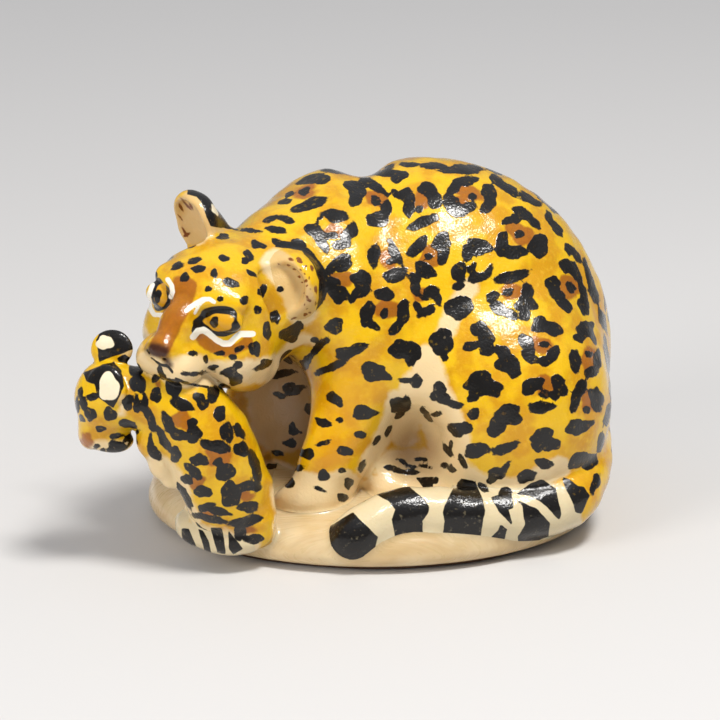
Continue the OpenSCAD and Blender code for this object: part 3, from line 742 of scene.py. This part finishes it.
# Strokes of the brush: (half width, point, point, ...)
STROKES = {
    "white": [
        (.24, (-19.3, 20.6), (-18.4, 21.3), (-17.6, 21.75), (-16.9, 21.8), (-16.4, 21.5)),
        (.13, (-18.4, 20.3), (-18, 21.1), (-17.4, 21.6)),
        (.33, (-18.6, 17.9), (-18.1, 18.5), (-17.5, 18.6), (-16.9, 18.2), (-16.2, 17.6),
         (-15.5, 17.2), (-14.8, 17.2), (-14.2, 17.8), (-13.7, 18.2), (-12.4, 18.2)),
        (.24, (-21.2, 23.8), (-20.8, 23.2), (-20.7, 22.5), (-20.9, 22)),
        (.24, (-22.8, 23.3), (-23.2, 22), (-23, 20.8), (-22.6, 20.2), (-21.7, 20.1)),
    ],
    "ink": [
        (.12, (-22.9, 15.7), (-21.9, 15), (-21.2, 14.9), (-20.7, 14.2)),
        (.1, (-19.8, 14.4), (-18.9, 14.1), (-17.6, 14.4)),
        (.09, (-23.4, 16.6), (-23.1, 16.2)), (.09, (-18.6, 16.5), (-18.2, 16)),
        (.14, (-20.4, 13.6), (-19.6, 13.2), (-18.4, 12.9), (-17, 12.7)),
        (.3, (-18.5, 18.5), (-18.3, 19.2), (-17.8, 19.7)),
    ],
    "umber": [
        (.7, (-22.7, 16.6), (-21.7, 16.3)), (.3, (-21.4, 15.6), (-21, 15)),
    ],
    "brown": [
        (1.15, (-19.3, 22.9), (-20.2, 20.8), (-21.2, 18.8), (-21.9, 17)),
        (.6, (-17.6, 17.6), (-16.5, 16.9), (-15.3, 16.4), (-14, 16.7), (-12.9, 17.4)),
        (.8, (-19.9, 23.4), (-19, 23.2)),
    ],
    "head_cream": [
        (1.3, (-19.8, 14), (-17, 14), (-14.5, 14.2), (-11.5, 14.3), (-9, 15.2), (-7.2, 17)),
        (1.4, (-20.6, 14.2), (-19.4, 14.6), (-18, 14.6)),
        (1.1, (-23.4, 15.4), (-22.6, 14.8)),
    ],
    "cub_cream": [
        (.9, (-28.6, 6.3), (-27, 6.2), (-25.6, 6.4)),
        (.4, (-26, 10), (-25.8, 11.5)),
        (1.4, (-22.3, 4.5), (-20.9, 3.2)),
        (.6, (-19.6, 3), (-19.2, .8), (-18.3, -1)),
        (1.4, (-19.4, -2.4), (-16.8, -3.1), (-13, -3.9)),
    ],
    "belly_cream_and_sheen": [
        (1.6, (5.4, 15.4), (6.2, 13), (6.8, 11)),
        (2.2, (6.6, 10.6), (7.4, 8.4), (8, 6.6)),
        (1.9, (2, 4.4), (5.5, 4.4), (9, 4)),
        (1.5, (4.4, 13), (3.6, 10), (3.2, 8)),
        # This stroke carries the cream strip up the flank; its upper end, towards w 23, is pale
        # cream painted where the flank has a sheen: a painted highlight
        (1, (7.5, 18.5), (8.6, 21), (10, 23)),
    ],
    "near_cream": [
        (1.6, (-10, 25.4), (-8.8, 24), (-7.8, 22.4), (-7.3, 20.6)),
        (2.6, (-18.6, 30), (-17.6, 31), (-16.4, 31.2)),
        (2.6, (-8, 1.5), (-5, 1), (-3, 1.5)),
        (.9, (2.4, 11.5), (1.6, 9), (.6, 6.6), (-.8, 4.2)),
        (1.2, (14.5, 1.8), (17, 3.2), (19.2, 4.4)),
        (.9, (9, 3.4), (11.6, 2.6), (14, 1.6)),
        (3.2, (-10, 12.5), (-9.5, 9)),
        (1.6, (-6.3, 14.2), (-7.5, 13)),
        (4.5, (-3, -3), (3, 0), (9, 0)),
        (4, (9, 0), (14, -.6), (17.6, -1)),
    ],
}
PALE_SPOTS = [(-27.7, 17.3, .85, .8, 0), (-27.3, 12.7, 1.15, 1.35, 0), (-16.3, 31, .7, .35, -55)]
# Areas painted inside an outline
EAR_INK = [
    [(-28.6, 17.6), (-28.2, 18.4), (-26.8, 18.9), (-24.5, 17.6), (-24.8, 16.6), (-28.3, 15.3)],
    [(-30, 14.2), (-28, 15), (-26.8, 15.3), (-26, 14.4), (-25.7, 12.8), (-26.8, 10.5),
     (-28.4, 11.6), (-28.8, 13), (-29.6, 13.3)],
    [(-19.2, 33.2), (-16.6, 33.2), (-13.9, 29.4), (-14.6, 29), (-16.8, 29.3), (-17.3, 30.6),
     (-17.8, 31.9), (-18.2, 32.4), (-19.2, 32.6)],
    [(-10.2, 27.2), (-8.8, 27), (-7.4, 26.8), (-6.2, 25.4), (-5.6, 23.8), (-5.6, 22),
     (-6, 20.4), (-5.4, 19.6), (-4.4, 21), (-4.3, 25), (-6, 28), (-9.6, 28)],
]
TAIL_BANDS = [
    [(-2.1, -.2), (.5, -2.8), (0, -4.8), (-1, -6.5), (-5, -6), (-5, -2)],
    [(.3, 1.6), (1.6, .9), (2.3, .05), (1.9, -.9), (2.3, -3), (5.2, -3), (5.1, -1.1),
     (5.7, -.4), (5.8, .4), (5.3, 1.1), (4.4, 1.9), (3.5, 2.6), (2, 3.4), (.3, 3)],
    [(4.3, 3.4), (6.3, 3.4), (6.2, 2.4), (6.3, 1.5), (5.2, 2.3)],
    [(8.4, 3.4), (8.3, 2.3), (7.7, 1.1), (7.2, -.2), (7.4, -1.2), (7, -3.4), (11, -3.6),
     (11.2, -2.2), (11.6, 0), (11.2, 1.5), (10.6, 3)],
    [(12.2, 1.3), (14.3, 2), (14.5, .2), (14, 0), (14.4, -1.3), (14.3, -1.5), (13, -.2)],
    [(13.2, -1.5), (13.9, -2), (13.5, -3.3), (13.3, -5.5), (9, -4.5), (10, -3.4),
     (12, -3), (12.9, -2.1)],
    [(14.5, 1.2), (16.9, .2), (18.3, -1.4), (18, -3.6), (15, -4.4), (15, -2.7), (15.7, -1.5),
     (15.4, .5)],
    [(14.8, 1.6), (16.2, 2.7), (17.5, 3.2), (18.9, 2.2), (19.1, 1.2), (19.5, -.4),
     (19.3, -1.1), (18.8, -.6), (17.4, .8), (16, 1.5)],
    [(19.4, 3.5), (20.3, 3.2), (21.2, 2.5), (21.8, 2.4), (22.4, 1.5), (21.6, -.4),
     (20.9, -.2), (20.7, .6), (20.1, 1.8), (19.7, 2.8)],
]
CUB_BANDS = [[(-19.8, -1.9), (-19, -1.9), (-18.6, -3), (-17.8, -4.8), (-19.6, -4.6)],
             [(-18.1, -1.9), (-17.6, -2.1), (-17, -3.1), (-16.6, -4.8), (-17.2, -4.8)],
             [(-16.8, -1.8), (-15.6, -1.8), (-15.4, -2.9), (-15.2, -4.6), (-16.1, -4.4)],
             [(-15, -2), (-14.2, -3), (-13.4, -4), (-14.4, -4.6), (-14.9, -4)]]


# A mark is (its place, its field, how far it spreads, how deep it reaches or None). A field
# takes places from that point and depths from the surface there.

def dot_at(u, w, a, b, turned=0):
    """An oval dab of the brush; its outline is uneven in its own way."""
    c, s = math.cos(math.radians(turned)), math.sin(math.radians(turned))
    lead = (u * 12.9 + w * 7.3) % 6.28

    def field(p, q, deep, span):
        x, y = (p * c + q * s) / a, (q * c - p * s) / b
        ang = np.arctan2(y, x)
        rough = 0.1 * np.sin(2 * ang + lead) + 0.09 * np.sin(3 * ang + 2 * lead) \
            + 0.06 * np.sin(5 * ang + 3 * lead)
        return (np.sqrt(x * x + y * y + (deep / span) ** 2) - 1 - rough) * min(a, b)
    return (u, w), field, max(a, b) + 1, None


def trace(path, mid, p, q):
    """Distance to a line of points from places given from mid, and which places it closes in."""
    d, odd = np.full(len(p), 9.0), np.zeros(len(p), bool)
    for (x0, y0), (x1, y1) in zip(path, path[1:]):
        ex, ey, px, py = x1 - x0, y1 - y0, p - x0 + mid[0], q - y0 + mid[1]
        t = np.clip((px * ex + py * ey) / (ex * ex + ey * ey), 0, 1)
        d = np.minimum(d, np.hypot(px - t * ex, py - t * ey))
        if ey:
            odd ^= ((py >= 0) != (py >= ey)) & (px < py / ey * ex)
    return d, odd


STROKE_DEPTH, PATCH_DEPTH = 3.4, 3.0


def stroke_at(width, *path):
    """A stroke of even width; it lies at the depth of its middle point."""
    mid = path[len(path) // 2]

    def field(p, q, deep, reach):
        return np.maximum(trace(path, mid, p, q)[0] - width, np.abs(deep) - reach)
    far = max(math.dist(mid, p) for p in path)
    return mid, field, far + width + 1, STROKE_DEPTH + width


def patch_at(path):
    """A flat-edged area inside a given outline."""
    mid = tuple(np.mean(path, axis=0))

    def field(p, q, deep, reach):
        d, odd = trace(path + path[:1], mid, p, q)
        return np.maximum(np.where(odd, -d, d), np.abs(deep) - reach)
    return mid, field, max(math.dist(mid, p) for p in path) + 1, PATCH_DEPTH


# The y of the planes that the hidden side's marks are mirrored in
BODY_MIDDLE, CUB_MIDDLE = 2.2, -16.6


def head_mirror(P):
    q = (P - HEAD) @ HEAD_AXES
    return HEAD + (q * (1, -1, 1)) @ HEAD_AXES.T


def body_mirror(P):
    return P * (1, -1, 1) + (0, 2 * BODY_MIDDLE, 0)


def cub_mirror(P):
    return P * (1, -1, 1) + (0, 2 * CUB_MIDDLE, 0)


NEAR_TWIN = 1.2
# Where marks are, so that the scattered ones keep clear of them
ANCHORS = []


def lay(marks, mirror=None):
    """Marks with their depth, their reach in depth, and whether they have a hidden twin.

    A dab on a surface that turns away from the camera reaches less deep, or it would smear.
    """
    at = np.array([m[0] for m in marks], float)
    deep, normal = cast(at)
    s = (AWAY + deep) / AWAY
    place = AIM + np.outer((at[:, 0] - AIM[0]) * s, [1, 0, 0]) \
        + np.outer((at[:, 1] - AIM_W) * s, UP) + np.outer(deep, DEEP)
    out = []
    for (uw, field, wide, span), d, p, n in zip(marks, deep, place, normal):
        if span is None:
            steep = -n @ DEEP < 0.5
            span = (0.7 if steep else 2.2) * (wide - 1) + (0.4 if steep else 0.8)
        hidden = False
        ANCHORS.append(p)
        if mirror:
            twin, n, _, _ = SOLID.find_nearest(Vector(mirror(p)))
            hidden = np.array(n) @ DEEP > 0.05
            if hidden and (twin - Vector(mirror(p))).length < NEAR_TWIN:
                ANCHORS.append(np.array(twin))
        out.append((uw, field, wide, span, d, p, mirror, hidden))
    return out


def dab(centre, normal, along, a, b, lead):
    """An oval dab on the hidden side, in the plane of the surface under it."""
    across = np.cross(normal, along)

    def field(P):
        q = P - centre
        x, y, z = q @ along / a, q @ across / b, q @ normal / (max(a, b) + 0.5)
        ang = np.arctan2(y, x)
        rough = 0.12 * np.sin(2 * ang + lead) + 0.1 * np.sin(3 * ang + 2 * lead)
        return (np.sqrt(x * x + y * y + z * z) - 1 - rough) * min(a, b)
    return centre, field, max(a, b) + 2.5


TRIES = 6000
SPOTS_ABOVE, ROSETTES_ABOVE = 6.5, 12
RING = 1.35


def scatter(names, gap, rosettes):
    """Rosettes and spots for the parts of the coat that no listed mark reaches."""
    dice = np.random.default_rng(7)
    pool = np.vstack([pieces[n][0] for n in names])
    pool = pool[dice.permutation(len(pool))[:TRIES]]
    black, brown, taken = [], [], list(ANCHORS)
    for p in pool:
        if np.min(np.linalg.norm(np.array(taken) - p, axis=1)) < gap or p[2] < SPOTS_ABOVE:
            continue
        _, n, _, _ = SOLID.find_nearest(Vector(p))
        n = np.array(n)
        if n @ DEEP < -0.1:
            continue
        t = np.cross(n, dice.normal(size=3))
        t /= np.linalg.norm(t)
        s = np.cross(n, t)
        if rosettes and p[2] > ROSETTES_ABOVE:
            brown.append(dab(p, n, t, 1.0, 0.9, dice.uniform(0, 6)))
            start = dice.uniform(0, 6)
            for k in range(4):
                ang = start + k * 1.57 + dice.uniform(-0.25, 0.25)
                out = t * math.cos(ang) + s * math.sin(ang)
                side = np.cross(n, out)
                black.append(dab(p + out * RING, n, side, dice.uniform(0.6, 1.0),
                                 dice.uniform(0.35, 0.55), dice.uniform(0, 6)))
        else:
            black.append(dab(p, n, t, dice.uniform(0.5, 0.9), dice.uniform(0.4, 0.6),
                             dice.uniform(0, 6)))
        taken.append(p)
    return black, brown


def dots(table, swell=1.0):
    return [dot_at(u, w, a * swell, b * swell, *turned) for u, w, a, b, *turned in table]


def bands(table):
    return [patch_at(row) for row in table]


def strokes(name):
    return [stroke_at(*row) for row in STROKES[name]]


slots = {s["node"]: s["material_slot"] for s in frame["record"]["subparts"]}
pieces = {n: sculpt(n) for n in slots if n not in ("dowel_pins", "nut_skin")}
points = np.vstack([p for p, _, _ in pieces.values()])
starts = np.cumsum([0] + [len(p) for p, _, _ in pieces.values()])
faces = np.vstack([q + s for (_, q, _), s in zip(pieces.values(), starts)])
SOLID = BVHTree.FromPolygons(points.tolist(), faces.tolist())

# The marks of each colour
LAYERS = {
    "ink": lay(dots(BODY), body_mirror) + lay(dots(HEAD_INK, 0.88), head_mirror)
    + lay(dots(CUB_INK, 1.15), cub_mirror),
    "line": lay(strokes("ink"), head_mirror),
    "brown": lay(dots(BROWN), body_mirror) + lay(dots(CUB_BROWN), cub_mirror)
    + lay(strokes("brown"), head_mirror),
    "umber": lay(strokes("umber"), head_mirror),
    "white": lay(strokes("white"), head_mirror),
    "cream": lay(strokes("head_cream"), head_mirror) + lay(strokes("cub_cream"), cub_mirror)
    + lay(strokes("belly_cream_and_sheen")) + lay(strokes("near_cream")),
    "hair": lay(dots(EAR_BROWN), head_mirror),
    "lid": lay(dots(LIDS), head_mirror),
    "iris": lay(dots(AMBER_EYES), head_mirror),
    "pupil": lay(dots(PUPILS), head_mirror),
    "band": lay(bands(TAIL_BANDS), body_mirror) + lay(bands(EAR_INK), cub_mirror),
    "pale": lay(dots(PALE_SPOTS), cub_mirror),
    "cub_band": lay(bands(CUB_BANDS), cub_mirror),
}

# Rosettes on the hidden side, then small spots in the gaps that they leave
COAT = ("torso", "right_haunch", "left_haunch", "right_foreleg", "right_hind_foot", "tail")
rosette_ink, rosette_brown = scatter(COAT, 3.3, True)
ANCHORS.extend(c for c, _, _ in rosette_ink)
small_ink, _ = scatter((*COAT, "head"), 2.2, False)
HIDDEN_DABS = {"ink": rosette_ink + small_ink, "brown": rosette_brown}

# Painted brown shade in the throat and belly hollows, and the deeper glaze on shoulder and haunch
HOLLOW_SHADE = [egg((-10.5, -4, 12), (6.5, 7, 7)), egg((4.4, -8, 9.8), (2.4, 3.4, 2))]
AMBER = [*limb(((-2.6, -13, 17), 2.5), ((-5, -14, 9.5), 2.2)), egg((18, -14, 8), (5, 5, 4))]


# Painted distances stop growing here
FAR = 3.0


def feet_and_belly(P):
    """How far above the unpainted ivory low on the cat, which leaves out the cub and the rump."""
    cat = (P[:, 0] > -13.5 - 0.2 * P[:, 1]) | (P[:, 1] > -9.5)
    return np.where(cat & (P[:, 0] <= 17), P[:, 2] - 6, FAR)


def paint(P):
    """Distance in mm from every point to the edge of each colour, negative inside it."""
    def work(q):
        pts = q[1:-1]
        out = []
        for label, marks in LAYERS.items():
            d = np.full(len(pts), FAR)
            for centre, field, wide in HIDDEN_DABS.get(label, []):
                gap = np.maximum(np.maximum(q[0] - centre, centre - q[-1]), 0)
                if gap @ gap < wide ** 2:
                    d = np.minimum(d, field(pts))
            for twin in (False, True):
                views = {}
                for (u, w), field, wide, span, deep, place, mirror, hidden in marks:
                    if twin and not hidden:
                        continue
                    key = mirror if twin else None
                    if key not in views:
                        r = mirror(pts) if twin else pts
                        views[key] = (*seen(r), r.min(0), r.max(0))
                    a, b, c, lo, hi = views[key]
                    gap = np.maximum(np.maximum(lo - place, place - hi), 0)
                    if math.sqrt(gap @ gap) > max(wide, span) + 1:
                        continue
                    d = np.minimum(d, field(a - u, b - w, c - deep, span))
            if label == "cream":
                d = np.minimum(np.maximum(d, pts[:, 1] - 2), feet_and_belly(pts))
            out.append(d)
        # Painted shade in the hollows, then the deeper glaze, as soft distances
        for shade_and_glaze in (HOLLOW_SHADE, AMBER):
            d = REACH
            for s in shade_and_glaze:
                d = smin(d, measure(s, q), 1)
            out.append(np.broadcast_to(d, len(pts)))
        return out
    return dict(zip([*LAYERS, "hollow_shade", "amber"], in_batches(P, work)))


# ---- materials ----

def nodes_of(name):
    """A new material, its node tree and its shader."""
    mat = bpy.data.materials.new(name)
    mat.use_nodes = True
    return mat, mat.node_tree, mat.node_tree.nodes["Principled BSDF"]


class Graph:
    """Small helpers for wiring a node tree."""

    def __init__(self, tree):
        self.tree = tree
        self.coords = self.new("ShaderNodeTexCoord").outputs["Object"]

    def new(self, kind, **fields):
        node = self.tree.nodes.new(kind)
        for key, value in fields.items():
            setattr(node, key, value)
        return node

    def feed(self, socket, value):
        if isinstance(value, bpy.types.NodeSocket):
            self.tree.links.new(value, socket)
        else:
            socket.default_value = value

    def math(self, op, a, b):
        node = self.new("ShaderNodeMath", operation=op)
        for socket, value in zip(node.inputs, (a, b)):
            self.feed(socket, value)
        return node.outputs[0]

    def noise(self, size_mm, detail, stretch=None):
        node = self.new("ShaderNodeTexNoise")
        node.inputs["Scale"].default_value = 1 / (size_mm * MM)
        node.inputs["Detail"].default_value = detail
        vector = self.coords
        if stretch:
            scale = self.new("ShaderNodeVectorMath", operation="MULTIPLY")
            self.feed(scale.inputs[0], vector)
            scale.inputs[1].default_value = stretch
            vector = scale.outputs[0]
        self.feed(node.inputs["Vector"], vector)
        return node.outputs["Fac"]

    def layer(self, name):
        return self.new("ShaderNodeAttribute", attribute_name=name).outputs["Fac"]

    def ramp(self, value, lo, hi, a=0.0, b=1.0):
        node = self.new("ShaderNodeMapRange", interpolation_type="SMOOTHSTEP")
        self.feed(node.inputs["Value"], value)
        for key, v in (("From Min", lo), ("From Max", hi), ("To Min", a), ("To Max", b)):
            node.inputs[key].default_value = v
        return node.outputs["Result"]

    def mix(self, factor, a, b):
        node = self.new("ShaderNodeMix", data_type="RGBA")
        self.feed(node.inputs["Factor"], factor)
        self.feed(node.inputs["A"], a)
        self.feed(node.inputs["B"], b)
        return node.outputs["Result"]


def rgb(r, g, b):
    """A screen colour as a shader colour."""
    return (*[((c / 255 + 0.055) / 1.055) ** 2.4 if c > 10 else c / 255 / 12.92
              for c in (r, g, b)], 1)


def inside(g, layer, edge, rough, soft=0.05, grow=0.0):
    """Coverage of a colour: its edge is shifted by noise and then cut nearly sharp."""
    moved = g.math("ADD", g.layer(layer), g.math("MULTIPLY", g.math("SUBTRACT", edge, 0.5), rough))
    return g.ramp(moved, grow - soft, grow + soft, 1, 0)


def relief(g, out, height, strength, distance_mm):
    """Fine bumps on a shader; gives back their normal."""
    bump = g.new("ShaderNodeBump")
    bump.inputs["Strength"].default_value = strength
    bump.inputs["Distance"].default_value = distance_mm * MM
    g.feed(bump.inputs["Height"], height)
    g.feed(out.inputs["Normal"], bump.outputs["Normal"])
    return bump.outputs["Normal"]


def glow(out, weight, *radii_mm):
    """Light that passes a little way into the nut."""
    out.inputs["Subsurface Weight"].default_value = weight
    out.inputs["Subsurface Radius"].default_value = [r * MM for r in radii_mm]
    out.inputs["Subsurface Scale"].default_value = 1


def coat(name, ground):
    """Brushed enamel colours under clear lacquer."""
    mat, tree, out = nodes_of(name)
    g = Graph(tree)
    edge = g.noise(1.1, 4)
    blot = g.noise(3.2, 3)
    brush = g.noise(0.5, 3)
    gold = g.mix(g.ramp(blot, 0.42, 0.62), rgb(222, 176, 6), rgb(202, 146, 4))
    gold = g.mix(g.ramp(brush, 0.5, 0.75, 0, 0.3), gold, rgb(232, 190, 50))
    gold = g.mix(g.ramp(g.layer("amber"), -2.5, 2, 0.4, 0), gold, rgb(210, 138, 2))
    # Cream ground; high on the flank it also stands for a painted highlight
    colour = g.mix(inside(g, "cream", edge, 0.9, 0.3), gold, ground)
    colour = g.mix(g.math("MULTIPLY", inside(g, "brown", edge, 0.7, 0.16), 0.9), colour,
                   g.mix(brush, rgb(172, 98, 8), rgb(128, 64, 4)))
    # Painted shade: the throat and belly hollows are darkened to brown
    colour = g.mix(g.ramp(g.layer("hollow_shade"), -1.5, 2.2, 0.62, 0), colour, rgb(128, 82, 34))
    colour = g.mix(inside(g, "umber", edge, 0.6, 0.35), colour, rgb(62, 30, 14))
    colour = g.mix(inside(g, "hair", edge, 0.3, 0.05), colour, rgb(120, 66, 22))
    ink = rgb(14, 11, 9)
    dark = inside(g, "ink", edge, 0.55, 0.045, 0.13)
    band = g.math("MAXIMUM", inside(g, "band", edge, 0.25, 0.04),
                  inside(g, "cub_band", edge, 0.2, 0.04))
    dark = g.math("MAXIMUM", dark, g.math("MAXIMUM", band, inside(g, "line", edge, 0.3, 0.045)))
    colour = g.mix(g.math("MULTIPLY", dark, g.ramp(brush, 0.25, 0.4, 0.86, 1)), colour, ink)
    colour = g.mix(inside(g, "pale", edge, 0.25, 0.05), colour, rgb(232, 220, 190))
    colour = g.mix(inside(g, "lid", edge, 0.15, 0.05), colour, ink)
    colour = g.mix(inside(g, "iris", edge, 0.12, 0.05), colour, rgb(205, 150, 20))
    colour = g.mix(inside(g, "pupil", edge, 0.1, 0.05), colour, ink)
    colour = g.mix(inside(g, "white", edge, 0.2, 0.05), colour, rgb(240, 236, 222))
    g.feed(out.inputs["Base Color"], colour)
    g.feed(out.inputs["Roughness"], g.ramp(brush, 0.3, 0.7, 0.28, 0.42))
    out.inputs["Specular IOR Level"].default_value = 0.15
    out.inputs["Coat Weight"].default_value = 1
    out.inputs["Coat IOR"].default_value = 1.4
    g.feed(out.inputs["Coat Roughness"], g.ramp(blot, 0.3, 0.7, 0.05, 0.11))
    glow(out, 0.12, 1.2, 0.6, 0.3)
    height = g.math("ADD", g.math("MULTIPLY", dark, 0.5),
                    g.math("ADD", g.math("MULTIPLY", g.noise(0.26, 3), 0.9),
                           g.math("MULTIPLY", g.noise(1.4, 2), 0.6)))
    g.feed(out.inputs["Coat Normal"], relief(g, out, height, 0.4, 0.12))
    return mat


def ivory(name):
    """Bare polished nut with its fine growth lines."""
    mat, tree, out = nodes_of(name)
    g = Graph(tree)
    grain = g.noise(0.22, 2, (0.04, 1, 0.15))
    cloud = g.noise(6, 3)
    colour = g.mix(g.ramp(cloud, 0.35, 0.65), rgb(212, 190, 148), rgb(198, 170, 122))
    colour = g.mix(g.ramp(grain, 0.45, 0.75, 0, 0.22), colour, rgb(170, 134, 88))
    g.feed(out.inputs["Base Color"], colour)
    g.feed(out.inputs["Roughness"], g.ramp(grain, 0.3, 0.7, 0.25, 0.4))
    out.inputs["Coat Weight"].default_value = 0.5
    out.inputs["Coat Roughness"].default_value = 0.15
    glow(out, 0.2, 2, 1.2, 0.7)
    relief(g, out, grain, 0.25, 0.08)
    return mat


def plain(name, light, dark, rough):
    """Two mottled colours, for the nut's skin and the hidden dowels."""
    mat, tree, out = nodes_of(name)
    g = Graph(tree)
    g.feed(out.inputs["Base Color"], g.mix(g.noise(1.5, 4), light, dark))
    out.inputs["Roughness"].default_value = rough
    return mat


mats = {
    "spotted_coat": coat("spotted_coat", rgb(226, 200, 152)),
    "banded_tail": coat("banded_tail", rgb(212, 196, 158)),
    "ear_paint": coat("ear_paint", rgb(208, 174, 114)),
    "bare_ivory": ivory("bare_ivory"),
    "nut_skin": plain("nut_skin", rgb(96, 62, 36), rgb(50, 30, 18), 0.45),
    "dowel_wood": plain("dowel_wood", rgb(200, 160, 110), rgb(170, 126, 80), 0.6),
}
pieces["nut_skin"] = (*nut_skin(), None)
for node, slot_name in slots.items():
    if node == "dowel_pins":
        frame["nodes"][node].data.materials.clear()
        frame["nodes"][node].data.materials.append(mats[slot_name])
        continue
    P, quads, piece = pieces[node]
    if piece is None:
        piece = make_mesh(node, P, quads)
    else:
        for label, values in paint(P).items():
            layer = piece.data.attributes.new(label, "FLOAT", "POINT")
            layer.data.foreach_set("value", values.astype(np.float32))
    piece.data.materials.append(mats[slot_name])
    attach(piece, "root")
    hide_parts(node)

# ---- floor, light, camera ----

WIDE = 2
floor_mesh = bpy.data.meshes.new("floor")
floor_mesh.from_pydata([(x * WIDE, y * WIDE, 0) for x, y in ((-1, -1), (1, -1), (1, 1), (-1, 1))],
                       [], [(0, 1, 2, 3)])
floor = bpy.data.objects.new("floor", floor_mesh)
bpy.context.scene.collection.objects.link(floor)
floor_mat, _, floor_shader = nodes_of("floor")
floor_shader.inputs["Base Color"].default_value = (0.62, 0.61, 0.6, 1)
floor_shader.inputs["Roughness"].default_value = 0.8
floor_mesh.materials.append(floor_mat)

bpy.context.scene.view_settings.view_transform = "Standard"
world = bpy.data.worlds.new("studio")
bpy.context.scene.world = world
world.use_nodes = True
sky = Graph(world.node_tree)
height = sky.new("ShaderNodeSeparateXYZ")
sky.feed(height.inputs[0], sky.new("ShaderNodeTexCoord").outputs["Generated"])
sky.feed(world.node_tree.nodes["Background"].inputs["Color"],
         sky.mix(sky.ramp(height.outputs[2], 0.1, 0.9), rgb(168, 167, 166), rgb(232, 236, 244)))
world.node_tree.nodes["Background"].inputs["Strength"].default_value = 0.62


def softbox(name, place, aim, size, power, colour):
    """A rectangular lamp; its numbers are metres and watts."""
    light = bpy.data.lights.new(name, "AREA")
    light.shape, light.size, light.size_y = "RECTANGLE", size[0], size[1]
    light.energy, light.color = power, colour
    obj = bpy.data.objects.new(name, light)
    bpy.context.scene.collection.objects.link(obj)
    obj.location = place
    obj.rotation_euler = (Vector(aim) - Vector(place)).to_track_quat("-Z", "Y").to_euler()
    return obj


softbox("key", (0.12, -0.15, 0.42), (0, 0, 0.016), (0.12, 0.08), 1.85, (1, 0.98, 0.95))
fill = softbox("fill", (-0.34, -0.3, 0.2), (0, 0, 0.012), (0.2, 0.2), 1.15, (1, 0.96, 0.92))
fill.visible_glossy = False

VIEW_WIDTH = 74.4
cam_data = bpy.data.cameras.new("camera")
cam_data.lens = cam_data.sensor_width * AWAY / VIEW_WIDTH
cam_data.clip_start, cam_data.clip_end = 0.01, 10
camera = bpy.data.objects.new("camera", cam_data)
bpy.context.scene.collection.objects.link(camera)
camera.location = EYE * MM
camera.rotation_euler = (math.pi / 2 - TILT, 0, 0)
bpy.context.scene.camera = camera
